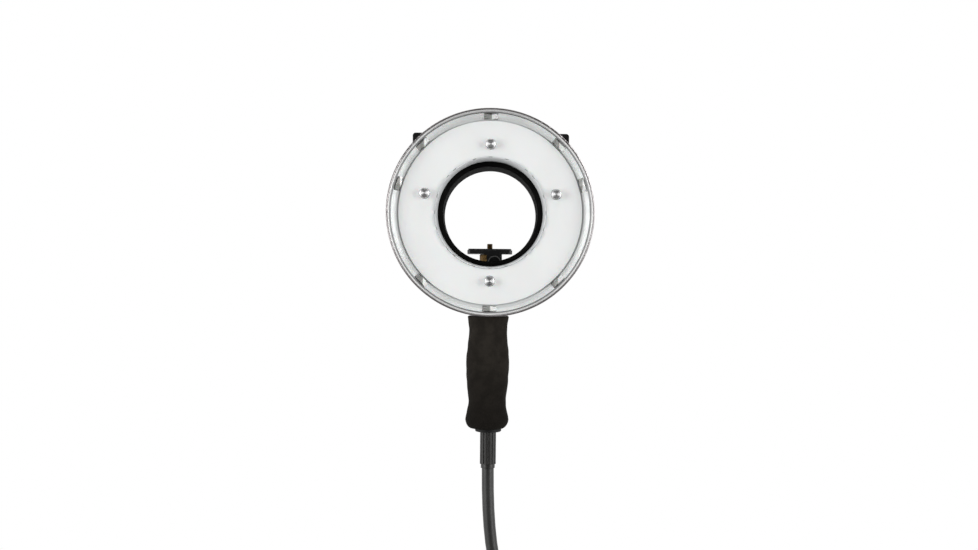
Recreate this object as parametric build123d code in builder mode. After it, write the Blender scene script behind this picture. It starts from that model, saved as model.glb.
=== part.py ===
from build123d import *
from math import cos, hypot, pi, radians, sin, tan
import os

# A hand-held studio ring flash on its camera bracket, in millimetres.
# The port's axis lies along Y and the light faces -Y. The origin is the mouth of the stand thread
# below the bracket's arm. Depths are counted back from the head's front edge, and radii and
# heights of the head are counted from the port's axis.

os.makedirs("parts", exist_ok=True)

# Clearances
face_gap = 0.3            # between the faces of pieces that move past each other
running_gap = 0.05        # radial, for a shaft in its own bearing
shaft_gap = 1.0           # radial, for a clamp shaft in a slot
diffuser_gap = 0.2        # round the frosted ring's edge
cut_margin = 1.0          # how far a cut runs past the face that it starts from

# Round head, whose radii follow from the port's, outwards
rim_width = 3.7
rim_lip_width = 1.5       # the rim's outer lip, round its channel
rim_channel_depth = 2.0
rim_trim_width = 1.5
rim_trim_depth = 0.4      # of the bright ring's front
rim_trim_bevel = 0.6
rim_bead_depth = 6.0
rim_skirt_depth = 12.0
rim_skirt_wall = 1.2
casing_wall = 2.5
casing_depth = 58.3
pan_front_depth = 2.5
pan_wall = 0.8
pan_slope_width = 6.9     # of the polished band between the rim and the frosted ring
pan_outer_lean = 5.6      # how far the deep outer wall draws in
pan_inner_lean = 1.6
pan_mouth_lap = 2.7       # of the frosted ring over the pan's inner mouth
diffuser_front_depth = 9.0
diffuser_thickness = 3.5
seat_width = 1.8

# Port
port_radius = 47.0
port_tube_wall = 2.5
port_tube_stub = 1.5      # of the tube behind its flange
port_lip_width = 6.4
port_lip_depth = 3.0
port_mouth_chamfer = 1.9
collar_front_depth = 7.5
collar_back_depth = 35.0
collar_ledge = 6.6        # from the port's edge to the collar's front
collar_lean = 1.5
collar_wall = 0.9
collar_slot_depth = 3.0
collar_slot_arc = 3.6     # degrees
collar_slot_angles = (-17, 0, 17, 40, 50)    # repeated in each quarter
tube_flange_width = 5.5
tube_flange_thickness = 2.0

# Studs, nuts and clips that hold the frosted ring
stud_angles = (16, 90, 164, 270)
stud_radius = 2.0
stud_wall_gap = 5.5       # from the pan's inner wall
stud_tube_gap = 2.5       # to the flash tubes
nut_radius = 4.8
nut_height = 5.0
nut_dome = 1.4
nut_hole_depth = 2.6
washer_radius = 5.2
washer_thickness = 0.8
clip_angles = (17, 45, 90, 135, 163, 225, 270, 315)
clip_arc = 8.4            # degrees
clip_sheet = 0.7
clip_crease = 1.2         # how far a clip's middle stands up
clip_front_depth = 3.4
clip_foot_length = 0.6

# Flash tubes
flash_tube_radius = 5.0
flash_wall_gap = 3.0      # to the pan's outer wall
flash_tube_depth = 26.0
flash_half_arc = 78.0     # degrees each way from level
flash_leg_bend = 8.0
socket_wall = 2.0
socket_height = 5.0
clamp_sheet = 1.0
clamp_width = 5.0
clamp_opening = 6.0
clamp_stem_width = 3.0
clamp_angles = (40, 140, 220, 320)
trigger_wire_radius = 0.6
insulator_thickness = 3.0
insulator_inset = 2.0     # from the pan's inner wall
wiring_space = 8.0
spacer_angles = (30, 75, 150, 210, 285, 330)
spacer_radius = 4.0

# Rear housing
housing_width = 157.6
housing_top = 82.4
housing_bottom = 66.0
housing_corner = 3.0
housing_depth = 33.7
housing_wall = 2.5
cover_thickness = 2.5
post_radius = 4.0
post_inset = 5.5
cover_screw_radius = 1.5
cover_screw_length = 14.0
cover_head_radius = 2.9
cover_head_height = 1.6
casing_screw_radius = 2.0
casing_screw_margin = 12.5    # from the port's tube
casing_screw_angles = (20, 160, 200, 340)
casing_head_radius = 3.4
casing_head_height = 2.0

# Fan and vents
fan_size = 30.0
fan_thickness = 10.0
fan_side_gap = 6.0        # to the housing's side wall
fan_top_gap = 8.0         # to its top wall
fan_corner = 3.0
fan_bore_radius = 13.6
fan_hub_radius = 5.5
fan_pin_radius = 1.5
fan_blade_reach = 12.3
fan_blades = 7
fan_blade_sheet = 1.0
fan_blade_width = 5.0
fan_spokes = 3
fan_spoke_width = 2.4
fan_spoke_thickness = 1.6
vent_hole_radius = 1.9
vent_hole_spacing = 5.2
vent_holes_each_way = 5

# Parts inside the rear housing
transformer_size = (28.0, 24.0, 17.0)      # across, deep, high
transformer_rounding = 1.5
transformer_side_gap = 9.5
transformer_floor_gap = 1.5
block_size = (26.0, 14.0, 13.0)
block_side_gap = 9.5
block_floor_gap = 2.0
block_screws = 4
block_screw_radius = 2.2
block_screw_depth = 4.5
loom_radius = 2.8
loom_clearance = 3.0
loom_bend_radius = 3.5
loom_end_run = 5.0        # into the terminal block's side

# Handle
handle_depth = 40.0
grip_length = 112.0
grip_rounding = 5.0
# Shares of the grip's length, each with the grip's radius there
grip_radii = (
    (0.0, 20.4),
    (0.11, 18.6),
    (0.25, 19.6),
    (0.43, 21.2),
    (0.62, 19.9),
    (0.77, 18.4),
    (0.93, 21.3),
)
core_radius = 11.0
core_bore_radius = 8.0
saddle_width = 36.0
saddle_length = 32.0
saddle_corner = 4.0
handle_bolt_radius = 2.5
handle_bolt_spacing = 27.0
handle_bolt_head_radius = 4.2
handle_bolt_head_height = 3.0
cap_radius = 13.0
cap_thickness = 3.0
gland_length = 14.0
relief_length = 36.0
relief_radius = 8.0
relief_end_radius = 7.0
relief_end_length = 4.0
relief_flutes = 12
relief_flute_radius = 0.9

# Bracket arm and stand thread
foot_height = 10.0
foot_width = 44.0
foot_length = 28.0
foot_corner = 3.0
foot_setback = 3.7        # behind the round casing's back
rail_width = 38.0
rail_thickness = 10.0
rail_back = 105.0         # behind the stand thread
rail_corner = 6.0
rail_screw_radius = 2.5
rail_screw_head_radius = 4.6
rail_screw_head_height = 2.7
rail_screw_across = 24.0
rail_screw_along = 16.0
stand_setback = 115.0     # from the head's front edge to the stand thread
stand_boss_radius = 13.0
stand_boss_height = 16.0
stand_boss_chamfer = 1.0
stand_spigot_radius = 6.0
stand_spigot_height = 6.0
stand_thread_radius = 4.0
stand_thread_depth = 13.0

# Camera carriage
camera_setback = 40.0     # from the stand thread to the camera screw
carriage_length = 34.0
carriage_cheek = 6.7
carriage_top_thickness = 8.0
carriage_cheek_drop = 8.0
carriage_corner = 3.0
carriage_forward_travel = 13.0
carriage_back_travel = 45.0
clamp_shaft_radius = 3.0
clamp_shaft_depth = 6.0
clamp_knob_radius = 12.5
clamp_knob_height = 13.0
clamp_knob_rounding = 1.2
clamp_knob_lobes = 8
clamp_knob_lobe_radius = 2.6
column_thickness = 5.0
column_width = 16.0
column_offset = 5.0       # to the right of the camera screw, seen from the front
column_top = 41.5
column_slot_gap = 0.4
column_screw_radius = 1.25
column_screw_spacing = 7.0
column_screw_length = 12.0
column_screw_head_radius = 2.4
column_screw_head_height = 1.5
column_screw_drop = 4.2

# Camera platform
platform_underside = 38.0
platform_thickness = 4.0
platform_width = 48.0
platform_length = 38.7
platform_corner = 4.0
platform_travel = 14.0
tongue_thickness = 4.0
tongue_length = 14.0
height_shaft_radius = 2.5
height_shaft_drop = 9.0
height_knob_radius = 7.5
height_knob_length = 11.0
height_knob_hub_radius = 5.0
height_knob_hub_length = 1.7
height_knob_dome = 2.0
height_knob_taper = 30.0  # degrees
height_knob_ribs = 18
height_knob_rib_radius = 0.5
pad_thickness = 1.5
pad_margin = 1.0
pad_hole_gap = 0.5
camera_thread_radius = 3.175
camera_thread_height = 5.5
camera_neck_radius = 2.6
camera_wheel_radius = 11.0
camera_wheel_height = 9.0
camera_wheel_ribs = 36
camera_wheel_rib_radius = 0.45

# Lamp cable
cable_radius = 6.0
lead_drop = 112.0
lead_run = 66.0
lead_turn = 52.0          # degrees
run_share = 0.45
coil_inner_radius = 48.0
coil_turns = 4            # in each of two layers
coil_gap = 0.6
layer_gap = 0.6
tie_width = 14.0
tie_thickness = 1.2
tie_gap = 0.1
tie_corner = 5.0
tail_length = 60.0
samples_per_arc = 90
quarter_turn = 90.0       # degrees

# Plug
plug_nut_radius = 10.5
plug_nut_length = 16.0
plug_nut_flats = 6
plug_nut_rounding = 1.5
plug_shoulder_radius = 12.0
plug_shoulder_length = 6.0
plug_cone_length = 8.0
plug_body_radius = 17.0
plug_barrel_length = 16.0
plug_nose_radius = 15.0
plug_nose_length = 32.0
plug_skirt_bore_radius = 12.5
plug_skirt_depth = 12.0
plug_collar_radius = 19.0
plug_collar_length = 22.0
plug_collar_ribs = 24
plug_collar_rib_radius = 0.7
plug_pin_radius = 1.5
plug_pin_length = 10.0
plug_pin_circle = 7.5
plug_pins_round = 6

# Radii of the head that follow from the sizes above
port_outer_radius = port_radius + port_tube_wall
collar_front_inner_radius = port_radius + collar_ledge
collar_back_inner_radius = collar_front_inner_radius - collar_lean
diffuser_inner_radius = collar_front_inner_radius + collar_wall + diffuser_gap
pan_mouth_inner_radius = diffuser_inner_radius + pan_mouth_lap
pan_floor_inner_radius = pan_mouth_inner_radius + pan_inner_lean
stud_circle_radius = pan_floor_inner_radius + stud_wall_gap + stud_radius
flash_circle_radius = stud_circle_radius + stud_radius + stud_tube_gap + flash_tube_radius
pan_floor_outer_radius = flash_circle_radius + flash_tube_radius + flash_wall_gap
seat_outer_radius = pan_floor_outer_radius + pan_outer_lean
diffuser_outer_radius = seat_outer_radius - diffuser_gap
rim_inner_radius = seat_outer_radius + pan_slope_width + pan_wall
head_radius = rim_inner_radius + rim_width
insulator_inner_radius = pan_floor_inner_radius + insulator_inset
casing_screw_circle = port_outer_radius + casing_screw_margin

# Heights and places that follow from the sizes above
axis_height = stand_boss_height + rail_thickness + foot_height + housing_bottom
front_y = -stand_setback
casing_radius = head_radius - rim_skirt_wall
casing_inner_radius = casing_radius - casing_wall
casing_floor_depth = casing_depth - casing_wall
insulator_back_depth = casing_floor_depth - wiring_space
pan_floor_depth = insulator_back_depth - insulator_thickness - pan_wall
diffuser_back_depth = diffuser_front_depth + diffuser_thickness
pan_slope = pan_slope_width / (diffuser_back_depth - pan_front_depth)
tube_front_depth = collar_back_depth
housing_back_depth = casing_depth + housing_depth
cover_back_depth = housing_back_depth + cover_thickness
tube_back_depth = cover_back_depth + tube_flange_thickness + port_tube_stub
housing_height = housing_top + housing_bottom
housing_centre_up = (housing_top - housing_bottom) / 2
housing_inside = housing_width / 2 - housing_wall
housing_floor = housing_wall - housing_bottom
fan_across = housing_inside - fan_side_gap - fan_size / 2
fan_up = housing_top - housing_wall - fan_top_gap - fan_size / 2
transformer_across = transformer_side_gap + transformer_size[0] / 2 - housing_inside
transformer_up = housing_floor + transformer_floor_gap + transformer_size[2] / 2
block_across = housing_inside - block_side_gap - block_size[0] / 2
block_up = housing_floor + block_floor_gap + block_size[2] / 2
handle_y = front_y + handle_depth
rail_top = axis_height - housing_bottom - foot_height
rail_bottom = rail_top - rail_thickness
rail_front = front_y + casing_depth + foot_setback
rail_slot_width = 2 * (clamp_shaft_radius + shaft_gap)
rail_slot_front = camera_setback - carriage_forward_travel - rail_slot_width / 2
rail_slot_back = camera_setback + carriage_back_travel + rail_slot_width / 2
carriage_top = rail_top + carriage_top_thickness
carriage_front = camera_setback - carriage_length / 2
platform_bottom = axis_height - platform_underside
platform_top = platform_bottom + platform_thickness
pad_top = platform_top + pad_thickness
height_shaft_z = platform_bottom - height_shaft_drop
column_front = carriage_front - column_thickness
tongue_front = carriage_front + face_gap
grip_bottom = head_radius + grip_length
relief_top = axis_height - grip_bottom - cap_thickness
cable_exit = relief_top - relief_length

port_axis = Axis((0, front_y, axis_height), (0, -1, 0))


def facing(depth):
    """A plane across the port's axis that faces the front, with x to the right and y up."""
    return Plane(origin=(0, front_y + depth, axis_height), x_dir=(1, 0, 0), z_dir=(0, -1, 0))


def radial(angle):
    """A half plane from the port's axis at an angle from level: x is depth and y is radius."""
    return Plane(
        origin=(0, front_y, axis_height),
        x_dir=(0, 1, 0),
        z_dir=(sin(radians(angle)), 0, -cos(radians(angle))),
    )


def level(height, across=0.0, along=0.0):
    """A level plane at a height, centred at a place seen from above."""
    return Plane(origin=(across, along, height))


def around(angle, radius):
    """Where an angle and a radius round the port's axis lie across and up."""
    return (radius * cos(radians(angle)), radius * sin(radians(angle)))


def outline(points, plane):
    """A flat face with straight sides through the points."""
    with BuildSketch(plane) as sketch:
        with BuildLine():
            Polyline(*points, close=True)
        make_face()
    return sketch.sketch


def ring_face(plane, outer, inner):
    """A flat ring."""
    with BuildSketch(plane) as sketch:
        Circle(outer)
        Circle(inner, mode=Mode.SUBTRACT)
    return sketch.sketch


def make_front_rim():
    """The rim round the front edge, with a rounded lip and a skirt, and the bright ring in its channel."""
    lip_middle = rim_lip_width / 2
    channel_radius = head_radius - rim_lip_width
    with BuildPart() as front_rim:
        with BuildSketch(radial(90)):
            with BuildLine():
                Polyline(
                    (lip_middle, head_radius),
                    (rim_skirt_depth, head_radius),
                    (rim_skirt_depth, casing_radius),
                    (rim_bead_depth, casing_radius),
                    (rim_bead_depth, rim_inner_radius),
                    (rim_channel_depth, rim_inner_radius),
                    (rim_channel_depth, channel_radius),
                    (lip_middle, channel_radius),
                )
                ThreePointArc(
                    (lip_middle, channel_radius), (0, head_radius - lip_middle), (lip_middle, head_radius)
                )
            make_face()
        revolve(axis=port_axis)
    front_rim.part.label = "front_rim"
    export_step(front_rim.part, "parts/front_rim.step")

    trim_inner = channel_radius - rim_trim_width
    section = (
        (rim_channel_depth, channel_radius),
        (rim_trim_depth + rim_trim_bevel, channel_radius),
        (rim_trim_depth, channel_radius - rim_trim_bevel),
        (rim_trim_depth, trim_inner + rim_trim_bevel),
        (rim_trim_depth + rim_trim_bevel, trim_inner),
        (rim_channel_depth, trim_inner),
    )
    with BuildPart() as rim_trim:
        revolve(outline(section, radial(90)), axis=port_axis)
    rim_trim.part.label = "rim_trim"
    export_step(rim_trim.part, "parts/rim_trim.step")


def make_front_casing():
    """The round shell, open at the front, with holes for the tube, the loom and the bolts."""
    wall = ring_face(facing(casing_depth), casing_radius, casing_inner_radius)
    floor = ring_face(facing(casing_depth), casing_inner_radius, port_outer_radius)
    with BuildPart() as front_casing:
        extrude(wall, casing_depth - rim_bead_depth)
        extrude(floor, casing_wall)
        with BuildSketch(facing(casing_depth)):
            with Locations(*casing_screw_places()):
                Circle(casing_screw_radius)
            with Locations((loom_entry_across, block_up)):
                Circle(loom_radius)
        extrude(amount=casing_wall, mode=Mode.SUBTRACT)
        with BuildSketch(level(axis_height - head_radius, along=handle_y)):
            Circle(core_bore_radius)
            with GridLocations(handle_bolt_spacing, 0, 2, 1):
                Circle(handle_bolt_radius)
        extrude(amount=head_radius - casing_inner_radius + casing_wall * 2, mode=Mode.SUBTRACT)
    front_casing.part.label = "front_casing"
    export_step(front_casing.part, "parts/front_casing.step")


def slope_radius(depth):
    """The radius of the pan's bright slope at a depth."""
    return rim_inner_radius - pan_wall - pan_slope * (depth - pan_front_depth)


def make_reflector_pan():
    """The polished pan: a sloped outer wall, a seat for the frosted ring and a deep floor."""
    front_line = pan_front_depth - cut_margin
    seat_radius = seat_outer_radius - seat_width
    skin = (
        (pan_front_depth, rim_inner_radius),
        (diffuser_back_depth + pan_wall, seat_outer_radius + pan_wall / 2),
        (pan_floor_depth + pan_wall, pan_floor_outer_radius + pan_wall),
        (pan_floor_depth + pan_wall, pan_floor_inner_radius - pan_wall),
        (diffuser_back_depth, pan_mouth_inner_radius - pan_wall),
        (diffuser_back_depth, pan_mouth_inner_radius),
    )
    hollow = (
        (front_line, slope_radius(front_line)),
        (diffuser_back_depth, seat_outer_radius),
        (diffuser_back_depth, seat_radius),
        (pan_floor_depth, pan_floor_outer_radius),
        (pan_floor_depth, pan_floor_inner_radius),
        (diffuser_back_depth, pan_mouth_inner_radius),
        (front_line, pan_mouth_inner_radius),
    )
    with BuildPart() as reflector_pan:
        revolve(outline(skin, radial(90)), axis=port_axis)
        revolve(outline(hollow, radial(90)), axis=port_axis, mode=Mode.SUBTRACT)
        with BuildSketch(facing(pan_floor_depth + pan_wall)):
            with Locations(*flash_leg_places()):
                Circle(flash_tube_radius + face_gap)
        extrude(amount=pan_wall, mode=Mode.SUBTRACT)
    reflector_pan.part.label = "reflector_pan"
    export_step(reflector_pan.part, "parts/reflector_pan.step")


def make_inner_collar():
    """The pale wall round the port, with small slots at its front edge."""
    wall = (
        (collar_front_depth, collar_front_inner_radius),
        (collar_front_depth, collar_front_inner_radius + collar_wall),
        (collar_back_depth, collar_back_inner_radius + collar_wall),
        (collar_back_depth, collar_back_inner_radius),
    )
    collar_slot_reach = diffuser_inner_radius + cut_margin
    slot = (
        (collar_front_depth - cut_margin, collar_back_inner_radius),
        (collar_front_depth - cut_margin, collar_slot_reach),
        (collar_front_depth + collar_slot_depth, collar_slot_reach),
        (collar_front_depth + collar_slot_depth, collar_back_inner_radius),
    )
    with BuildPart() as inner_collar:
        revolve(outline(wall, radial(90)), axis=port_axis)
        for quarter in range(4):
            for angle in collar_slot_angles:
                start = angle + quarter * quarter_turn - collar_slot_arc / 2
                revolve(
                    outline(slot, radial(start)),
                    axis=port_axis,
                    revolution_arc=collar_slot_arc,
                    mode=Mode.SUBTRACT,
                )
    inner_collar.part.label = "inner_collar"
    export_step(inner_collar.part, "parts/inner_collar.step")


def make_diffuser():
    """The flat frosted ring, with holes for its four studs."""
    with BuildPart() as diffuser:
        with BuildSketch(facing(diffuser_back_depth)):
            Circle(diffuser_outer_radius)
            Circle(diffuser_inner_radius, mode=Mode.SUBTRACT)
            with Locations(*[around(angle, stud_circle_radius) for angle in stud_angles]):
                Circle(stud_radius, mode=Mode.SUBTRACT)
        extrude(amount=diffuser_thickness)
    diffuser.part.label = "diffuser"
    export_step(diffuser.part, "parts/diffuser.step")


def make_diffuser_fixings():
    """Four studs from the pan's floor, with a washer and a domed nut on each."""
    places = [around(angle, stud_circle_radius) for angle in stud_angles]
    nut_seat_depth = diffuser_front_depth - washer_thickness
    stud_front_depth = nut_seat_depth - nut_hole_depth
    with BuildPart() as diffuser_studs:
        with BuildSketch(facing(pan_floor_depth)):
            with Locations(*places):
                Circle(stud_radius)
        extrude(amount=pan_floor_depth - stud_front_depth)
    diffuser_studs.part.label = "diffuser_studs"
    export_step(diffuser_studs.part, "parts/diffuser_studs.step")

    with BuildPart() as stud_washers:
        with BuildSketch(facing(diffuser_front_depth)):
            with Locations(*places):
                Circle(washer_radius)
                Circle(stud_radius, mode=Mode.SUBTRACT)
        extrude(amount=washer_thickness)
    stud_washers.part.label = "stud_washers"
    export_step(stud_washers.part, "parts/stud_washers.step")

    with BuildPart() as dome_nuts:
        with BuildSketch(facing(nut_seat_depth)):
            with Locations(*places):
                Circle(nut_radius)
        extrude(amount=nut_height)
        fillet(dome_nuts.faces().group_by(Axis.Y)[0].edges(), nut_dome)
        with BuildSketch(facing(nut_seat_depth)):
            with Locations(*places):
                Circle(stud_radius)
        extrude(amount=nut_hole_depth, mode=Mode.SUBTRACT)
    dome_nuts.part.label = "dome_nuts"
    export_step(dome_nuts.part, "parts/dome_nuts.step")


def slope_plane(angle, depth):
    """A plane across the pan's slope: x is along the rim and y stands up off the slope."""
    across, up = around(angle, slope_radius(depth))
    return Plane(
        origin=(across, front_y + depth, axis_height + up),
        x_dir=(sin(radians(angle)), 0, -cos(radians(angle))),
        z_dir=(-pan_slope * cos(radians(angle)), 1, -pan_slope * sin(radians(angle))),
    )


def make_rim_clips():
    """Eight clips on the pan's slope, creased along their middles, that hold the frosted ring's edge."""
    front_radius = slope_radius(clip_front_depth)
    heel_radius = slope_radius(diffuser_front_depth)
    foot_radius = heel_radius - clip_sheet - clip_foot_length
    strip = (
        (clip_front_depth, front_radius),
        (diffuser_front_depth, heel_radius),
        (diffuser_front_depth, foot_radius),
        (diffuser_front_depth - clip_sheet, foot_radius),
        (diffuser_front_depth - clip_sheet, heel_radius - clip_sheet),
        (clip_front_depth, front_radius - clip_sheet),
    )
    half_length = heel_radius * sin(radians(clip_arc / 2))
    crease = (
        (-half_length, clip_sheet / 2),
        (half_length, clip_sheet / 2),
        (0, clip_sheet + clip_crease),
    )
    run = hypot(diffuser_front_depth - clip_front_depth, front_radius - heel_radius)
    with BuildPart() as rim_clips:
        for angle in clip_angles:
            revolve(outline(strip, radial(angle - clip_arc / 2)), axis=port_axis, revolution_arc=clip_arc)
            extrude(outline(crease, slope_plane(angle, clip_front_depth)), run)
    rim_clips.part.label = "rim_clips"
    export_step(rim_clips.part, "parts/rim_clips.step")


def make_lens_tube():
    """The black tube through the head, with a front lip and a flange over the rear cover."""
    wall = (
        (tube_front_depth, port_radius + port_mouth_chamfer),
        (tube_front_depth, port_radius + port_lip_width),
        (tube_front_depth + port_lip_depth, port_radius + port_lip_width),
        (tube_front_depth + port_lip_depth, port_outer_radius),
        (cover_back_depth, port_outer_radius),
        (cover_back_depth, port_outer_radius + tube_flange_width),
        (cover_back_depth + tube_flange_thickness, port_outer_radius + tube_flange_width),
        (cover_back_depth + tube_flange_thickness, port_outer_radius),
        (tube_back_depth, port_outer_radius),
        (tube_back_depth, port_radius),
        (tube_front_depth + port_mouth_chamfer, port_radius),
    )
    with BuildPart() as lens_tube:
        revolve(outline(wall, radial(90)), axis=port_axis)
    lens_tube.part.label = "lens_tube"
    export_step(lens_tube.part, "parts/lens_tube.step")


def flash_end(side, end):
    """The end of a tube's ring arc, and the way it runs on round the ring there."""
    angle = quarter_turn - side * (quarter_turn - end * flash_half_arc)
    across, up = around(angle, flash_circle_radius)
    point = Vector(across, front_y + flash_tube_depth, axis_height + up)
    onward = Vector(-sin(radians(angle)), 0, cos(radians(angle))) * (side * end)
    return point, onward


def flash_leg_places():
    """Where the four tube legs pass the pan's floor, across and up from the port's axis."""
    places = []
    for side in (-1, 1):
        for end in (-1, 1):
            point, onward = flash_end(side, end)
            leg = point + onward * flash_leg_bend
            places.append((leg.X, leg.Z - axis_height))
    return places


def make_flash_tube(side, name):
    """A flash tube: nearly half a ring, with both ends bent back through the pan's floor."""
    back = Vector(0, 1, 0)
    middle = Vector(side * flash_circle_radius, front_y + flash_tube_depth, axis_height)
    ends = []
    for end in (-1, 1):
        point, onward = flash_end(side, end)
        centre = point + back * flash_leg_bend
        half_way = centre + (onward - back) * (flash_leg_bend * sin(pi / 4))
        turned = point + onward * flash_leg_bend + back * flash_leg_bend
        leg_end = turned + back * (insulator_back_depth - flash_tube_depth - flash_leg_bend)
        ends.append((point, half_way, turned, leg_end))
    low, high = ends
    with BuildPart() as flash_tube:
        with BuildLine() as route:
            Line(low[3], low[2])
            ThreePointArc(low[2], low[1], low[0])
            ThreePointArc(low[0], middle, high[0])
            ThreePointArc(high[0], high[1], high[2])
            Line(high[2], high[3])
        with BuildSketch(Plane(origin=low[3], z_dir=(0, -1, 0))):
            Circle(flash_tube_radius)
        sweep(path=route.line)
    flash_tube.part.label = name
    export_step(flash_tube.part, f"parts/{name}.step")


def make_tube_fixings():
    """Ceramic sockets round the tubes' legs, spring clamps on the pan's floor and the trigger wire."""
    with BuildPart() as tube_sockets:
        with BuildSketch(facing(pan_floor_depth)):
            with Locations(*flash_leg_places()):
                Circle(flash_tube_radius + socket_wall)
                Circle(flash_tube_radius, mode=Mode.SUBTRACT)
        extrude(amount=socket_height)
    tube_sockets.part.label = "tube_sockets"
    export_step(tube_sockets.part, "parts/tube_sockets.step")

    clamp_inner = flash_tube_radius + running_gap * 2
    clamp_outer = clamp_inner + clamp_sheet
    stem_reach = pan_floor_depth - flash_tube_depth
    with BuildPart() as tube_clamps:
        for angle in clamp_angles:
            across, up = around(angle, flash_circle_radius)
            way_round = (-sin(radians(angle)), 0, cos(radians(angle)))
            middle = Vector(across, front_y + flash_tube_depth, axis_height + up)
            start = middle - Vector(*way_round) * (clamp_width / 2)
            with BuildSketch(Plane(origin=start, x_dir=(0, 1, 0), z_dir=way_round)):
                Circle(clamp_outer)
                Circle(clamp_inner, mode=Mode.SUBTRACT)
                with Locations((-clamp_outer, 0)):
                    Rectangle(clamp_outer, clamp_opening, mode=Mode.SUBTRACT)
                with Locations(((clamp_inner + stem_reach) / 2 + running_gap, 0)):
                    Rectangle(stem_reach - clamp_inner - running_gap * 2, clamp_stem_width)
            extrude(amount=clamp_width)
    tube_clamps.part.label = "tube_clamps"
    export_step(tube_clamps.part, "parts/tube_clamps.step")

    wire_circle = flash_circle_radius - clamp_outer - trigger_wire_radius
    with BuildPart() as trigger_wire:
        with BuildSketch(radial(90)):
            with Locations((flash_tube_depth, wire_circle)):
                Circle(trigger_wire_radius)
        revolve(axis=port_axis)
    trigger_wire.part.label = "trigger_wire"
    export_step(trigger_wire.part, "parts/trigger_wire.step")


def make_insulator():
    """The insulating plate behind the pan, and the spacers that leave room for its wiring."""
    spacer_circle = (insulator_inner_radius + pan_floor_outer_radius) / 2
    with BuildPart() as insulator_plate:
        with BuildSketch(facing(insulator_back_depth)):
            Circle(pan_floor_outer_radius)
            Circle(insulator_inner_radius, mode=Mode.SUBTRACT)
            with Locations(*flash_leg_places()):
                Circle(flash_tube_radius, mode=Mode.SUBTRACT)
        extrude(amount=insulator_thickness)
    insulator_plate.part.label = "insulator_plate"
    export_step(insulator_plate.part, "parts/insulator_plate.step")

    with BuildPart() as insulator_spacers:
        with BuildSketch(facing(casing_floor_depth)):
            with Locations(*[around(angle, spacer_circle) for angle in spacer_angles]):
                Circle(spacer_radius)
        extrude(amount=casing_floor_depth - insulator_back_depth)
    insulator_spacers.part.label = "insulator_spacers"
    export_step(insulator_spacers.part, "parts/insulator_spacers.step")


def casing_screw_places():
    """The four screws between the round casing and the housing, across and up from the port's axis."""
    return [around(angle, casing_screw_circle) for angle in casing_screw_angles]


def post_places():
    """The four screw posts in the rear housing's corners, across and up from the port's axis."""
    across = housing_width / 2 - post_inset
    high = housing_top - post_inset
    low = -housing_bottom + post_inset
    return [(across, high), (-across, high), (-across, low), (across, low)]


def make_rear_housing():
    """The square-cornered box behind the round head."""
    with BuildPart() as rear_housing:
        with BuildSketch(facing(housing_back_depth)):
            with Locations((0, housing_centre_up)):
                RectangleRounded(housing_width, housing_height, housing_corner)
        extrude(amount=housing_depth)
        with BuildSketch(facing(housing_back_depth)):
            with Locations((0, housing_centre_up)):
                RectangleRounded(
                    housing_width - 2 * housing_wall,
                    housing_height - 2 * housing_wall,
                    housing_corner - housing_wall,
                )
        extrude(amount=housing_depth - housing_wall, mode=Mode.SUBTRACT)
        with BuildSketch(facing(housing_back_depth)):
            with Locations(*post_places()):
                Circle(post_radius)
        extrude(amount=housing_depth)
        with BuildSketch(facing(housing_back_depth)):
            with Locations(*post_places()):
                Circle(cover_screw_radius)
        extrude(amount=cover_screw_length, mode=Mode.SUBTRACT)
        with BuildSketch(facing(housing_back_depth)):
            Circle(port_outer_radius)
            with Locations(*casing_screw_places()):
                Circle(casing_screw_radius)
            with Locations((loom_entry_across, block_up)):
                Circle(loom_radius)
        extrude(amount=housing_depth, mode=Mode.SUBTRACT)
        with BuildSketch(level(axis_height - housing_bottom, along=rail_front + foot_length / 2)):
            with GridLocations(rail_screw_across, rail_screw_along, 2, 2):
                Circle(rail_screw_radius)
        extrude(amount=housing_wall, mode=Mode.SUBTRACT)
    rear_housing.part.label = "rear_housing"
    export_step(rear_housing.part, "parts/rear_housing.step")


def make_rear_cover():
    """The housing's back plate, with air holes in both upper corners."""
    with BuildPart() as rear_cover:
        with BuildSketch(facing(cover_back_depth)):
            with Locations((0, housing_centre_up)):
                RectangleRounded(housing_width, housing_height, housing_corner)
            Circle(port_outer_radius, mode=Mode.SUBTRACT)
            with Locations(*post_places()):
                Circle(cover_screw_radius, mode=Mode.SUBTRACT)
            for side in (-1, 1):
                with Locations((side * fan_across, fan_up)):
                    with GridLocations(
                        vent_hole_spacing, vent_hole_spacing, vent_holes_each_way, vent_holes_each_way
                    ):
                        Circle(vent_hole_radius, mode=Mode.SUBTRACT)
        extrude(amount=cover_thickness)
    rear_cover.part.label = "rear_cover"
    export_step(rear_cover.part, "parts/rear_cover.step")


def make_housing_screws():
    """Screws through the rear cover, and screws that join the housing to the round casing."""
    with BuildPart() as cover_screws:
        with BuildSketch(facing(cover_back_depth)):
            with Locations(*post_places()):
                Circle(cover_screw_radius)
        extrude(amount=cover_screw_length + cover_thickness)
        with BuildSketch(facing(cover_back_depth + cover_head_height)):
            with Locations(*post_places()):
                Circle(cover_head_radius)
        extrude(amount=cover_head_height)
        fillet(cover_screws.faces().group_by(Axis.Y)[-1].edges(), cover_head_height / 2)
    cover_screws.part.label = "cover_screws"
    export_step(cover_screws.part, "parts/cover_screws.step")

    head_seat_depth = casing_depth + housing_wall
    with BuildPart() as casing_screws:
        with BuildSketch(facing(head_seat_depth)):
            with Locations(*casing_screw_places()):
                Circle(casing_screw_radius)
        extrude(amount=housing_wall + casing_wall)
        with BuildSketch(facing(head_seat_depth + casing_head_height)):
            with Locations(*casing_screw_places()):
                Circle(casing_head_radius)
        extrude(amount=casing_head_height)
    casing_screws.part.label = "casing_screws"
    export_step(casing_screws.part, "parts/casing_screws.step")


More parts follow.
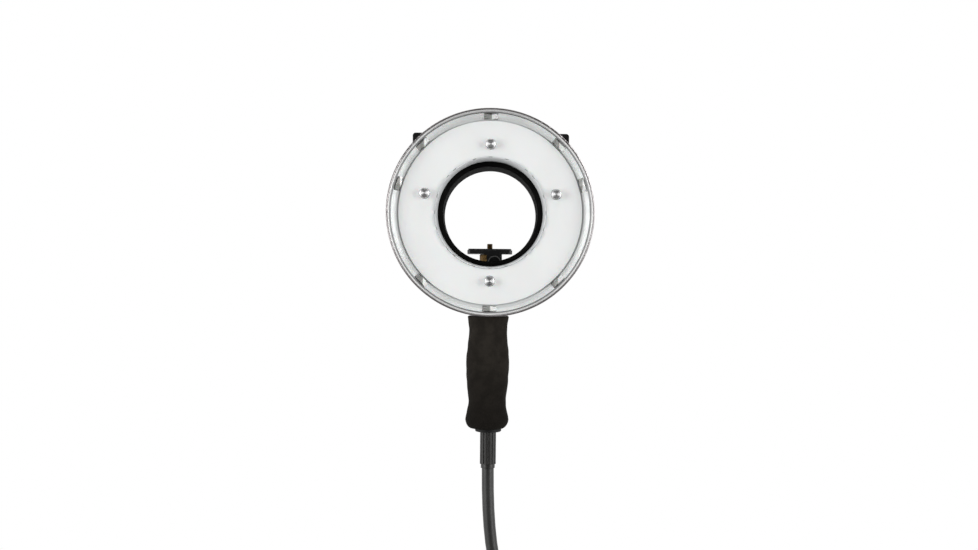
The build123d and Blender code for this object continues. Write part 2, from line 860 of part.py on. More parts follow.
def make_fan():
    """The cooling fan against the rear cover: a square frame with a pin, and its rotor."""
    frame_front_depth = housing_back_depth - fan_thickness
    hub_front_depth = frame_front_depth + face_gap
    hub_back_depth = housing_back_depth - fan_spoke_thickness - face_gap
    spoke_length = (fan_bore_radius + fan_size / 2) / 2
    with BuildPart() as fan_frame:
        with BuildSketch(facing(housing_back_depth)):
            with Locations((fan_across, fan_up)):
                RectangleRounded(fan_size, fan_size, fan_corner)
                Circle(fan_bore_radius, mode=Mode.SUBTRACT)
        extrude(amount=fan_thickness)
        with BuildSketch(facing(housing_back_depth)):
            with Locations((fan_across, fan_up)):
                Circle(fan_hub_radius)
                with PolarLocations(spoke_length / 2, fan_spokes, start_angle=90):
                    Rectangle(spoke_length, fan_spoke_width)
        extrude(amount=fan_spoke_thickness)
        with BuildSketch(facing(housing_back_depth)):
            with Locations((fan_across, fan_up)):
                Circle(fan_pin_radius)
        extrude(amount=fan_thickness)
    fan_frame.part.label = "fan_frame"
    export_step(fan_frame.part, "parts/fan_frame.step")

    hub_length = hub_back_depth - hub_front_depth
    blade_rise = (hub_length - fan_blade_sheet) / 2
    blade_middle = facing((hub_front_depth + hub_back_depth) / 2).origin + Vector(fan_across, 0, fan_up)
    blade = (
        (-fan_blade_width / 2, -blade_rise),
        (-fan_blade_width / 2 + fan_blade_sheet, -blade_rise),
        (fan_blade_width / 2, blade_rise),
        (fan_blade_width / 2 - fan_blade_sheet, blade_rise),
    )
    with BuildPart() as fan_rotor:
        for index in range(fan_blades):
            angle = 2 * pi * index / fan_blades
            outward = (cos(angle), 0, sin(angle))
            way_round = (-sin(angle), 0, cos(angle))
            blade_plane = Plane(origin=blade_middle, x_dir=way_round, z_dir=outward)
            extrude(outline(blade, blade_plane), fan_blade_reach)
        with BuildSketch(facing(hub_back_depth)):
            with Locations((fan_across, fan_up)):
                Circle(fan_hub_radius)
        extrude(amount=hub_length)
        with BuildSketch(facing(hub_back_depth)):
            with Locations((fan_across, fan_up)):
                Circle(fan_pin_radius + running_gap)
        extrude(amount=hub_length, mode=Mode.SUBTRACT)
    fan_rotor.part.label = "fan_rotor"
    export_step(fan_rotor.part, "parts/fan_rotor.step")


# The loom climbs from the handle, goes back under the pan, up behind it, across to the right and
# into the rear housing beside the terminal block.
loom_under_pan = casing_inner_radius - loom_radius - loom_clearance
loom_behind_pan_depth = (insulator_back_depth + casing_floor_depth) / 2
loom_under_port = port_outer_radius + loom_radius + loom_clearance
loom_entry_across = block_across - block_size[0] / 2 - loom_end_run
loom_run_depth = casing_depth + housing_wall + loom_radius + loom_clearance


def make_electrics():
    """The trigger transformer, the terminal block with its screws, and the wiring loom."""
    wall_depth = casing_depth + housing_wall
    with BuildPart() as trigger_transformer:
        with BuildSketch(facing(wall_depth + transformer_size[1])):
            with Locations((transformer_across, transformer_up)):
                Rectangle(transformer_size[0], transformer_size[2])
        extrude(amount=transformer_size[1])
        fillet(trigger_transformer.edges().filter_by(Axis.Y), transformer_rounding)
    trigger_transformer.part.label = "trigger_transformer"
    export_step(trigger_transformer.part, "parts/trigger_transformer.step")

    with BuildPart() as terminal_block:
        with BuildSketch(facing(wall_depth + block_size[1])):
            with Locations((block_across, block_up)):
                Rectangle(block_size[0], block_size[2])
        extrude(amount=block_size[1])
        with BuildSketch(facing(wall_depth + block_size[1])):
            with Locations((block_across, block_up)):
                with GridLocations(block_size[0] / block_screws, 0, block_screws, 1):
                    Circle(block_screw_radius)
        extrude(amount=block_screw_depth, mode=Mode.SUBTRACT)
    terminal_block.part.label = "terminal_block"
    export_step(terminal_block.part, "parts/terminal_block.step")

    run_y = front_y + loom_run_depth
    behind_y = front_y + loom_behind_pan_depth
    points = (
        (0, handle_y, axis_height - grip_bottom + gland_length),
        (0, handle_y, axis_height - loom_under_pan),
        (0, behind_y, axis_height - loom_under_pan),
        (0, behind_y, axis_height - loom_under_port),
        (loom_entry_across, behind_y, axis_height + block_up),
        (loom_entry_across, run_y, axis_height + block_up),
        (loom_entry_across + loom_end_run, run_y, axis_height + block_up),
    )
    with BuildPart() as wiring_loom:
        with BuildLine() as route:
            FilletPolyline(*points, radius=loom_bend_radius)
        with BuildSketch(level(points[0][2], along=handle_y)):
            Circle(loom_radius)
        sweep(path=route.line)
    wiring_loom.part.label = "wiring_loom"
    export_step(wiring_loom.part, "parts/wiring_loom.step")


def make_handle():
    """The saddle under the casing, the core tube, the soft grip and what closes its end."""
    saddle_bottom = axis_height - head_radius
    with BuildPart() as handle_saddle:
        with BuildSketch(level(saddle_bottom, along=handle_y)):
            RectangleRounded(saddle_width, saddle_length, saddle_corner)
        extrude(amount=head_radius - casing_inner_radius)
        with BuildSketch(facing(casing_depth)):
            Circle(casing_radius)
        extrude(amount=casing_depth, mode=Mode.SUBTRACT)
        with BuildSketch(level(saddle_bottom, along=handle_y)):
            Circle(core_bore_radius)
            with GridLocations(handle_bolt_spacing, 0, 2, 1):
                Circle(handle_bolt_radius)
        extrude(amount=head_radius, mode=Mode.SUBTRACT)
    handle_saddle.part.label = "handle_saddle"
    export_step(handle_saddle.part, "parts/handle_saddle.step")

    head_reach = handle_bolt_spacing / 2 + handle_bolt_head_radius
    bolt_seat = axis_height - (casing_inner_radius**2 - head_reach**2) ** 0.5
    with BuildPart() as handle_bolts:
        with BuildSketch(level(saddle_bottom, along=handle_y)):
            with GridLocations(handle_bolt_spacing, 0, 2, 1):
                Circle(handle_bolt_radius)
        extrude(amount=bolt_seat - saddle_bottom)
        with BuildSketch(level(bolt_seat, along=handle_y)):
            with GridLocations(handle_bolt_spacing, 0, 2, 1):
                Circle(handle_bolt_head_radius)
        extrude(amount=handle_bolt_head_height)
    handle_bolts.part.label = "handle_bolts"
    export_step(handle_bolts.part, "parts/handle_bolts.step")

    core_top = saddle_bottom
    core_bottom = axis_height - grip_bottom
    with BuildPart() as handle_core:
        with BuildSketch(level(core_bottom, along=handle_y)):
            Circle(core_radius)
            Circle(core_bore_radius, mode=Mode.SUBTRACT)
        extrude(amount=core_top - core_bottom)
    handle_core.part.label = "handle_core"
    export_step(handle_core.part, "parts/handle_core.step")

    side = [(radius, -share * grip_length) for share, radius in grip_radii]
    end_radius = side[-1][0] - grip_rounding
    grip_plane = Plane(origin=(0, handle_y, core_top), x_dir=(1, 0, 0), z_dir=(0, -1, 0))
    with BuildPart() as handle_grip:
        with BuildSketch(grip_plane):
            with BuildLine():
                Line((core_radius, 0), side[0])
                curve = Spline(*side)
                Spline(
                    curve @ 1,
                    (end_radius, -grip_length),
                    tangents=(curve % 1, Vector(-1, 0)),
                )
                Line((end_radius, -grip_length), (core_radius, -grip_length))
                Line((core_radius, -grip_length), (core_radius, 0))
            make_face()
        revolve(axis=Axis((0, handle_y, core_top), (0, 0, 1)))
    handle_grip.part.label = "handle_grip"
    export_step(handle_grip.part, "parts/handle_grip.step")

    with BuildPart() as handle_end_cap:
        with BuildSketch(level(relief_top, along=handle_y)):
            Circle(cap_radius)
        extrude(amount=cap_thickness)
        fillet(handle_end_cap.faces().sort_by(Axis.Z)[0].edges(), cap_thickness / 2)
    handle_end_cap.part.label = "handle_end_cap"
    export_step(handle_end_cap.part, "parts/handle_end_cap.step")

    with BuildPart() as cable_gland:
        with BuildSketch(level(core_bottom, along=handle_y)):
            Circle(core_bore_radius)
        extrude(amount=gland_length)
    cable_gland.part.label = "cable_gland"
    export_step(cable_gland.part, "parts/cable_gland.step")


def make_strain_relief():
    """The fluted sleeve that the cable leaves the handle by, with a plain narrower end."""
    with BuildPart() as strain_relief:
        with BuildSketch(level(cable_exit + relief_end_length, along=handle_y)):
            Circle(relief_radius)
            with PolarLocations(relief_radius, relief_flutes):
                Circle(relief_flute_radius, mode=Mode.SUBTRACT)
        extrude(amount=relief_length - relief_end_length)
        with BuildSketch(level(cable_exit, along=handle_y)):
            Circle(relief_end_radius)
        extrude(amount=relief_end_length)
    strain_relief.part.label = "strain_relief"
    export_step(strain_relief.part, "parts/strain_relief.step")


def make_arm():
    """The bracket's fixed arm: a foot under the housing, the rail, its screws and the stand thread."""
    foot_middle = rail_front + foot_length / 2
    with BuildPart() as rail_foot:
        with BuildSketch(level(rail_top, along=foot_middle)):
            RectangleRounded(foot_width, foot_length, foot_corner)
            with GridLocations(rail_screw_across, rail_screw_along, 2, 2):
                Circle(rail_screw_radius, mode=Mode.SUBTRACT)
        extrude(amount=foot_height)
    rail_foot.part.label = "rail_foot"
    export_step(rail_foot.part, "parts/rail_foot.step")

    slot_length = rail_slot_back - rail_slot_front
    rail_length = rail_back - rail_front
    with BuildPart() as rail:
        with BuildSketch(level(rail_bottom)):
            with Locations((0, (rail_front + rail_back) / 2)):
                RectangleRounded(rail_width, rail_length, rail_corner)
            with Locations((0, (rail_slot_front + rail_slot_back) / 2)):
                SlotOverall(slot_length, rail_slot_width, rotation=90, mode=Mode.SUBTRACT)
        extrude(amount=rail_thickness)
        with BuildSketch(level(rail_bottom)):
            Circle(stand_spigot_radius)
        extrude(amount=stand_spigot_height, mode=Mode.SUBTRACT)
        with BuildSketch(level(rail_bottom, along=foot_middle)):
            with GridLocations(rail_screw_across, rail_screw_along, 2, 2):
                Circle(rail_screw_radius)
        extrude(amount=rail_thickness, mode=Mode.SUBTRACT)
        with BuildSketch(level(rail_bottom, along=foot_middle)):
            with GridLocations(rail_screw_across, rail_screw_along, 2, 2):
                Circle(rail_screw_head_radius)
        extrude(amount=rail_screw_head_height, mode=Mode.SUBTRACT)
    rail.part.label = "rail"
    export_step(rail.part, "parts/rail.step")

    screw_top = axis_height - housing_bottom + housing_wall
    with BuildPart() as rail_screws:
        with BuildSketch(level(rail_bottom, along=foot_middle)):
            with GridLocations(rail_screw_across, rail_screw_along, 2, 2):
                Circle(rail_screw_radius)
        extrude(amount=screw_top - rail_bottom)
        with BuildSketch(level(rail_bottom, along=foot_middle)):
            with GridLocations(rail_screw_across, rail_screw_along, 2, 2):
                Circle(rail_screw_head_radius)
        extrude(amount=rail_screw_head_height)
    rail_screws.part.label = "rail_screws"
    export_step(rail_screws.part, "parts/rail_screws.step")

    with BuildPart() as stand_socket:
        with BuildSketch(level(0)):
            Circle(stand_boss_radius)
        extrude(amount=stand_boss_height)
        chamfer(stand_socket.faces().sort_by(Axis.Z)[0].edges(), stand_boss_chamfer)
        with BuildSketch(level(stand_boss_height)):
            Circle(stand_spigot_radius)
        extrude(amount=stand_spigot_height)
        with BuildSketch(level(0)):
            Circle(stand_thread_radius)
        extrude(amount=stand_thread_depth, mode=Mode.SUBTRACT)
    stand_socket.part.label = "stand_socket"
    export_step(stand_socket.part, "parts/stand_socket.step")


def make_carriage():
    """The block that straddles the rail, its column and the screws between them."""
    cheek_inside = rail_width / 2 + face_gap
    block_width = 2 * (cheek_inside + carriage_cheek)
    block_bottom = rail_top + face_gap - carriage_cheek_drop
    shaft_hole_depth = clamp_shaft_depth + face_gap
    with BuildPart() as carriage_block:
        with BuildSketch(level(block_bottom, along=camera_setback)):
            Rectangle(block_width, carriage_length)
        extrude(amount=carriage_top - block_bottom)
        fillet(carriage_block.edges().filter_by(Axis.Z), carriage_corner)
        with BuildSketch(level(block_bottom, along=camera_setback)):
            Rectangle(2 * cheek_inside, carriage_length)
        extrude(amount=carriage_cheek_drop, mode=Mode.SUBTRACT)
        with BuildSketch(level(rail_top, along=camera_setback)):
            Circle(clamp_shaft_radius + running_gap)
        extrude(amount=shaft_hole_depth, mode=Mode.SUBTRACT)
        with BuildSketch(column_screw_plane(carriage_front)):
            with GridLocations(column_screw_spacing, 0, 2, 1):
                Circle(column_screw_radius)
        extrude(amount=-column_screw_length, mode=Mode.SUBTRACT)
    carriage_block.part.label = "carriage_block"
    export_step(carriage_block.part, "parts/carriage_block.step")

    column_bottom = rail_top + face_gap
    column_high = axis_height - column_top
    slot_middle = height_shaft_z - platform_travel / 2
    slot_width = 2 * (height_shaft_radius + column_slot_gap)
    column_plane = Plane(origin=(column_offset, carriage_front, 0), x_dir=(1, 0, 0), z_dir=(0, -1, 0))
    with BuildPart() as carriage_column:
        with BuildSketch(column_plane):
            with Locations((0, (column_bottom + column_high) / 2)):
                Rectangle(column_width, column_high - column_bottom)
            with Locations((0, slot_middle)):
                SlotOverall(platform_travel + slot_width, slot_width, rotation=90, mode=Mode.SUBTRACT)
        extrude(amount=column_thickness)
        with BuildSketch(column_screw_plane(carriage_front)):
            with GridLocations(column_screw_spacing, 0, 2, 1):
                Circle(column_screw_radius)
        extrude(amount=column_thickness, mode=Mode.SUBTRACT)
    carriage_column.part.label = "carriage_column"
    export_step(carriage_column.part, "parts/carriage_column.step")

    with BuildPart() as column_screws:
        with BuildSketch(column_screw_plane(column_front)):
            with GridLocations(column_screw_spacing, 0, 2, 1):
                Circle(column_screw_radius)
        extrude(amount=-column_thickness - column_screw_length)
        with BuildSketch(column_screw_plane(column_front)):
            with GridLocations(column_screw_spacing, 0, 2, 1):
                Circle(column_screw_head_radius)
        extrude(amount=column_screw_head_height)
    column_screws.part.label = "column_screws"
    export_step(column_screws.part, "parts/column_screws.step")

    knob_top = rail_bottom - face_gap
    with BuildPart() as carriage_knob:
        with BuildSketch(level(knob_top - clamp_knob_height, along=camera_setback)):
            Circle(clamp_knob_radius)
            with PolarLocations(clamp_knob_radius, clamp_knob_lobes):
                Circle(clamp_knob_lobe_radius, mode=Mode.SUBTRACT)
        extrude(amount=clamp_knob_height)
        fillet(carriage_knob.faces().sort_by(Axis.Z)[0].edges(), clamp_knob_rounding)
        with BuildSketch(level(knob_top, along=camera_setback)):
            Circle(clamp_shaft_radius)
        extrude(amount=rail_top + clamp_shaft_depth - knob_top)
    carriage_knob.part.label = "carriage_knob"
    export_step(carriage_knob.part, "parts/carriage_knob.step")


def column_screw_plane(along):
    """The plane of the two screws that hold the column to the carriage, facing the front."""
    return Plane(
        origin=(column_offset, along, carriage_top - column_screw_drop), x_dir=(1, 0, 0), z_dir=(0, -1, 0)
    )


def make_platform():
    """The plate that the camera stands on, its rubber pad, its brass screw and the height knob."""
    plate_middle = tongue_front + platform_length / 2
    tongue_plane = Plane(
        origin=(column_offset, tongue_front, height_shaft_z), x_dir=(1, 0, 0), z_dir=(0, -1, 0)
    )
    with BuildPart() as camera_platform:
        with BuildSketch(level(platform_bottom, along=plate_middle)):
            RectangleRounded(platform_width, platform_length, platform_corner)
        extrude(amount=platform_thickness)
        with BuildSketch(level(platform_bottom - tongue_length)):
            with Locations((column_offset, tongue_front + tongue_thickness / 2)):
                Rectangle(column_width, tongue_thickness)
        extrude(amount=tongue_length)
        with BuildSketch(tongue_plane):
            Circle(height_shaft_radius + running_gap)
        extrude(amount=-tongue_thickness, mode=Mode.SUBTRACT)
        with BuildSketch(level(platform_bottom, along=camera_setback)):
            Circle(camera_thread_radius + running_gap)
        extrude(amount=platform_thickness, mode=Mode.SUBTRACT)
    camera_platform.part.label = "camera_platform"
    export_step(camera_platform.part, "parts/camera_platform.step")

    with BuildPart() as platform_pad:
        with BuildSketch(level(platform_top, along=plate_middle)):
            RectangleRounded(
                platform_width - 2 * pad_margin,
                platform_length - 2 * pad_margin,
                platform_corner - pad_margin,
            )
        extrude(amount=pad_thickness)
        with BuildSketch(level(platform_top, along=camera_setback)):
            Circle(camera_thread_radius + pad_hole_gap)
        extrude(amount=pad_thickness, mode=Mode.SUBTRACT)
    platform_pad.part.label = "platform_pad"
    export_step(platform_pad.part, "parts/platform_pad.step")

    wheel_top = platform_bottom - face_gap
    thread_start = pad_top + face_gap
    with BuildPart() as camera_screw:
        with BuildSketch(level(wheel_top - camera_wheel_height, along=camera_setback)):
            Circle(camera_wheel_radius)
            with PolarLocations(camera_wheel_radius, camera_wheel_ribs):
                Circle(camera_wheel_rib_radius, mode=Mode.SUBTRACT)
        extrude(amount=camera_wheel_height)
        with BuildSketch(level(wheel_top, along=camera_setback)):
            Circle(camera_neck_radius)
        extrude(amount=thread_start - wheel_top)
        with BuildSketch(level(thread_start, along=camera_setback)):
            Circle(camera_thread_radius)
        extrude(amount=pad_top + camera_thread_height - thread_start)
    camera_screw.part.label = "camera_screw"
    export_step(camera_screw.part, "parts/camera_screw.step")

    hub_seat = column_front - face_gap
    knob_seat = hub_seat - height_knob_hub_length
    shaft_end = tongue_front + tongue_thickness
    knob_face = knob_seat - height_knob_length
    with BuildPart() as height_knob:
        with BuildSketch(knob_plane(knob_seat)):
            Circle(height_knob_radius)
            with PolarLocations(height_knob_radius, height_knob_ribs):
                Circle(height_knob_rib_radius, mode=Mode.SUBTRACT)
        extrude(amount=height_knob_length - height_knob_dome)
        with BuildSketch(knob_plane(knob_face + height_knob_dome)):
            Circle(height_knob_radius - height_knob_rib_radius)
        extrude(amount=height_knob_dome, taper=height_knob_taper)
        with BuildSketch(knob_plane(hub_seat)):
            Circle(height_knob_hub_radius)
        extrude(amount=height_knob_hub_length)
        with BuildSketch(knob_plane(shaft_end)):
            Circle(height_shaft_radius)
        extrude(amount=shaft_end - hub_seat)
    height_knob.part.label = "height_knob"
    export_step(height_knob.part, "parts/height_knob.step")


def knob_plane(along):
    """A plane across the height knob's axis that faces the front."""
    return Plane(origin=(column_offset, along, height_shaft_z), x_dir=(1, 0, 0), z_dir=(0, -1, 0))


# The cable drops straight from the handle, bends to the right and joins the coil's upper right side.
coil_step = (2 * cable_radius + coil_gap) / 2
layer_step = 2 * cable_radius + layer_gap
half_turns = 2 * coil_turns
coil_outer_radius = coil_inner_radius + half_turns * coil_step
cable_diameter = 2 * cable_radius
lead_way = Vector(sin(radians(lead_turn)), 0, -cos(radians(lead_turn)))
lead_corner = Vector(0, handle_y, cable_exit - lead_drop)
coil_start = lead_corner + lead_way * lead_run
coil_touch = coil_start + lead_way * cable_diameter
coil_across = coil_touch.X - coil_outer_radius * cos(radians(lead_turn))
coil_height = coil_touch.Z - coil_outer_radius * sin(radians(lead_turn))


def coil_arcs():
    """The coil's arcs, each a start, a half-way point and an end.

    The first arc carries the lead round to level. Then half turns below and above the level line
    get tighter by one step each, the last of them climbs to the second layer, and half turns there
    get wider again.
    """
    middle_angle = radians(90 - lead_turn) / 2 + radians(45)
    right = Vector(coil_across + coil_outer_radius, handle_y, coil_height)
    half_way = Vector(
        coil_across + coil_outer_radius * sin(middle_angle),
        handle_y,
        coil_height + coil_outer_radius * cos(middle_angle),
    )
    arcs = [(coil_touch, half_way, right)]
    point = right
    for index in range(1, 2 * half_turns + 1):
        tightness = half_turns - abs(half_turns - index)
        radius = coil_outer_radius - tightness * coil_step
        side = -1 if index % 2 else 1
        climb = layer_step if index == half_turns else 0.0
        end = point + Vector(side * 2 * radius, climb, 0)
        reach = hypot(2 * radius, climb) / 2
        arcs.append((point, (point + end) * 0.5 + Vector(0, 0, side * reach), end))
        point = end
    return arcs


def arc_points(arc):
    """Points along an arc that is given by its start, half-way point and end."""
    edge = ThreePointArc(*arc)
    return [edge @ (share / samples_per_arc) for share in range(samples_per_arc)]


def least_coil_gap(arcs):
    """The least distance between the surfaces of turns that lie beside or on each other."""
    rows = [arc_points(arc) for arc in arcs]
    least = coil_outer_radius
    for first in range(len(rows)):
        for second in range(first + 2, len(rows)):
            for point in rows[first]:
                for other in rows[second]:
                    apart = hypot(point.X - other.X, point.Y - other.Y, point.Z - other.Z)
                    least = min(least, apart)
    return least - cable_diameter


def route_length(route):
    """The length of a route's runs and arcs."""
    return sum(edge.length for edge in route.edges())


def make_cable():
    """The lamp cable: its lead, its coil in one unbroken tube, its tail and the ties."""
    lead_radius = run_share * min(lead_run, lead_drop) / tan(radians(lead_turn) / 2)
    with BuildPart() as cable:
        with BuildLine() as route:
            FilletPolyline((0, handle_y, cable_exit), lead_corner, coil_start, radius=lead_radius)
        with BuildSketch(Plane(origin=(0, handle_y, cable_exit), z_dir=(0, 0, -1))):
            Circle(cable_radius)
        sweep(path=route.line)
    cable.part.label = "cable"
    export_step(cable.part, "parts/cable.step")
    lead_length = route_length(route.line)

    arcs = coil_arcs()
    coil_end = arcs[-1][2]
    tail_start = coil_end - Vector(0, 0, cable_diameter)
    with BuildPart() as cable_coil:
        with BuildLine() as winding:
            Line(coil_start, coil_touch)
            for arc in arcs:
                ThreePointArc(*arc)
            Line(coil_end, tail_start)
        with BuildSketch(Plane(origin=coil_start, z_dir=lead_way)):
            Circle(cable_radius)
        sweep(path=winding.line)
    cable_coil.part.label = "cable_coil"
    export_step(cable_coil.part, "parts/cable_coil.step")

    with BuildPart() as cable_tail:
        with BuildSketch(Plane(origin=tail_start, z_dir=(0, 0, -1))):
            Circle(cable_radius)
        extrude(amount=tail_length)
    cable_tail.part.label = "cable_tail"
    export_step(cable_tail.part, "parts/cable_tail.step")

    coil_length = route_length(winding.line)
    length = lead_length + coil_length + tail_length
    expected = pi * cable_radius**2 * coil_length
    print("lead bend radius", round(lead_radius, 1), "least turn radius", round(coil_inner_radius, 1))
    print("coil volume over section times length", round(cable_coil.part.volume / expected, 5))
    print("least gap of the coil to itself", round(least_coil_gap(arcs), 3))
    print("cable length", round(length, 1))
    return tail_start - Vector(0, 0, tail_length)


def make_coil_ties():
    """Two straps round the coil's bundle, one at its top and one at its bottom."""
    bundle_back = handle_y + layer_step / 2
    depth = layer_step + cable_diameter + 2 * tie_gap
    top_inner = coil_inner_radius - cable_radius
    top_outer = coil_outer_radius + cable_radius
    low_inner = coil_inner_radius + coil_step - cable_radius
    low_outer = coil_outer_radius - coil_step + cable_radius
    bands = ((1, top_inner, top_outer, 0.0), (-1, low_inner, low_outer, coil_step))
    with BuildPart() as coil_ties:
        for side, inner, outer, off_centre in bands:
            near = (inner**2 - (tie_width / 2 + off_centre) ** 2) ** 0.5 - tie_gap
            far = outer + tie_gap
            start = Vector(coil_across - tie_width / 2, bundle_back, coil_height + side * (near + far) / 2)
            with BuildSketch(Plane(origin=start, x_dir=(0, 1, 0), z_dir=(1, 0, 0))):
                RectangleRounded(
                    depth + 2 * tie_thickness, far - near + 2 * tie_thickness, tie_corner + tie_thickness
                )
                RectangleRounded(depth, far - near, tie_corner, mode=Mode.SUBTRACT)
            extrude(amount=tie_width)
    coil_ties.part.label = "coil_ties"
    export_step(coil_ties.part, "parts/coil_ties.step")


def make_plug(top):
    """The lamp plug that hangs from the cable's tail, with its locking collar and pins."""
    down = (0, 0, -1)
    body_top = top - Vector(0, 0, plug_nut_length)
    with BuildPart() as plug_nut:
        with BuildSketch(Plane(origin=top, z_dir=down)):
            RegularPolygon(plug_nut_radius, plug_nut_flats)
        extrude(amount=plug_nut_length)
        fillet(plug_nut.faces().sort_by(Axis.Z)[-1].edges(), plug_nut_rounding)
    plug_nut.part.label = "plug_nut"
    export_step(plug_nut.part, "parts/plug_nut.step")

    cone_end = plug_shoulder_length + plug_cone_length
    barrel_end = cone_end + plug_barrel_length
    nose_end = barrel_end + plug_nose_length
    side = (
        (0, 0),
        (plug_shoulder_radius, 0),
        (plug_shoulder_radius, -plug_shoulder_length),
        (plug_body_radius, -cone_end),
        (plug_body_radius, -barrel_end),
        (plug_nose_radius, -barrel_end),
        (plug_nose_radius, -nose_end),
        (plug_skirt_bore_radius, -nose_end),
        (plug_skirt_bore_radius, -nose_end + plug_skirt_depth),
        (0, -nose_end + plug_skirt_depth),
    )
    side_plane = Plane(origin=body_top, x_dir=(1, 0, 0), z_dir=(0, -1, 0))
    with BuildPart() as plug_body:
        revolve(outline(side, side_plane), axis=Axis(body_top, (0, 0, 1)))
    plug_body.part.label = "plug_body"
    export_step(plug_body.part, "parts/plug_body.step")

    collar_top = body_top - Vector(0, 0, barrel_end + face_gap)
    with BuildPart() as plug_collar:
        with BuildSketch(Plane(origin=collar_top, z_dir=down)):
            Circle(plug_collar_radius)
            with PolarLocations(plug_collar_radius, plug_collar_ribs):
                Circle(plug_collar_rib_radius, mode=Mode.SUBTRACT)
            Circle(plug_nose_radius + running_gap, mode=Mode.SUBTRACT)
        extrude(amount=plug_collar_length)
    plug_collar.part.label = "plug_collar"
    export_step(plug_collar.part, "parts/plug_collar.step")

    pin_base = body_top - Vector(0, 0, nose_end - plug_skirt_depth)
    with BuildPart() as plug_pins:
        with BuildSketch(Plane(origin=pin_base, z_dir=down)):
            Circle(plug_pin_radius)
            with PolarLocations(plug_pin_circle, plug_pins_round):
                Circle(plug_pin_radius)
        extrude(amount=plug_pin_length)
    plug_pins.part.label = "plug_pins"
    export_step(plug_pins.part, "parts/plug_pins.step")


def main():
    make_front_rim()
    make_front_casing()
    make_reflector_pan()
    make_inner_collar()
    make_diffuser()
    make_diffuser_fixings()
    make_rim_clips()
    make_lens_tube()
    make_flash_tube(-1, "flash_tube_left")
    make_flash_tube(1, "flash_tube_right")
    make_tube_fixings()
    make_insulator()
    make_rear_housing()
    make_rear_cover()
    make_housing_screws()
    make_fan()
    make_electrics()
    make_handle()
    make_strain_relief()
    make_arm()
    make_carriage()
    make_platform()
    plug_top = make_cable()
    make_coil_ties()
    make_plug(plug_top)


main()
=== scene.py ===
"""The looks of a studio ring flash with its grip, its lamp cable and its bracket.

Everything is in metres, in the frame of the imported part: the port's axis lies along Y, the light
faces -Y and +Z is up. New pieces are surfaces worked out with numpy, and every finish is made of
shader nodes.
"""

import math

import bmesh
import bpy
import numpy as np
from bpy.props import FloatProperty, FloatVectorProperty, IntProperty, PointerProperty
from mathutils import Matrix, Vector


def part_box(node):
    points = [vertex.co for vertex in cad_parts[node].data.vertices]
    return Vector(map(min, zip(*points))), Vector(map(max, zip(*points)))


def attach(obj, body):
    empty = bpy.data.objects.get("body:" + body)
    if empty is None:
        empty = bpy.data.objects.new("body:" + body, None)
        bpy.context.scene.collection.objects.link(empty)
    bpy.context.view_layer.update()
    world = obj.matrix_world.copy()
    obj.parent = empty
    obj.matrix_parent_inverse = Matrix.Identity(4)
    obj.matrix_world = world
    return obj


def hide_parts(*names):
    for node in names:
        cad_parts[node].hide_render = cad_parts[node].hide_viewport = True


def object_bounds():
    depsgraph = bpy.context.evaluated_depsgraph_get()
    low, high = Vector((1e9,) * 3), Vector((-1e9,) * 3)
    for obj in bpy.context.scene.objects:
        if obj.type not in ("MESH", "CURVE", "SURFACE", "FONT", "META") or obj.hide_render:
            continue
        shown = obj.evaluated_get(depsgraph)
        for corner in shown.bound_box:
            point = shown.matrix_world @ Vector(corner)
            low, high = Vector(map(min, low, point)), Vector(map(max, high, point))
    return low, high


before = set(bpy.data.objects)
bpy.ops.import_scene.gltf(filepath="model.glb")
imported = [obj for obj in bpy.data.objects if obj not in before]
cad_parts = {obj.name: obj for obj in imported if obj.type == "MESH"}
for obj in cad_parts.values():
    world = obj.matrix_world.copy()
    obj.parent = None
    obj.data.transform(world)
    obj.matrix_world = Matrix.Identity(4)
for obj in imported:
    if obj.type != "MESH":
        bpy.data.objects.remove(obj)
CAD_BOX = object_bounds()

bl_info = {
    "name": "Studio Ring Flash",
    "version": (1, 0, 0),
    "blender": (4, 5, 0),
    "location": "View3D > Sidebar > Ring Flash",
    "description": "Dresses a ring flash with its grip, cable, straps, finishes and stage",
    "category": "Add Mesh",
}

MM = 0.001
MERGE_DISTANCE = 0.001 * MM

ANYWHERE = (0.0, 0.0, 0.0)
WHITE = (1.0, 1.0, 1.0, 1.0)
DUST = (0.32, 0.31, 0.29)
STEEL_EDGE = (0.30, 0.30, 0.31)

# Where the nuts and the clips stand round the port, in degrees, and how far each reaches past the
# circle of its middles.
NUT_ANGLES = (16, 90, 164, 270)
NUT_RADIUS = 4.8 * MM
CLIP_ANGLES = (17, 45, 90, 135, 163, 225, 270, 315)
CLIP_HALF_LENGTH = 3.4 * MM


def box_middle(node):
    """The middle of a node's box at rest."""
    low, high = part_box(node)
    return (low + high) / 2


def box_half(node):
    """Half the size of a node's box at rest."""
    low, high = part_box(node)
    return (high - low) / 2


PORT_CENTRE = box_middle("lens_tube")
GRIP_LOW, GRIP_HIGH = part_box("handle_grip")
GRIP_MIDDLE = box_middle("handle_grip")
SCREW_LOW, SCREW_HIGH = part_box("camera_screw")


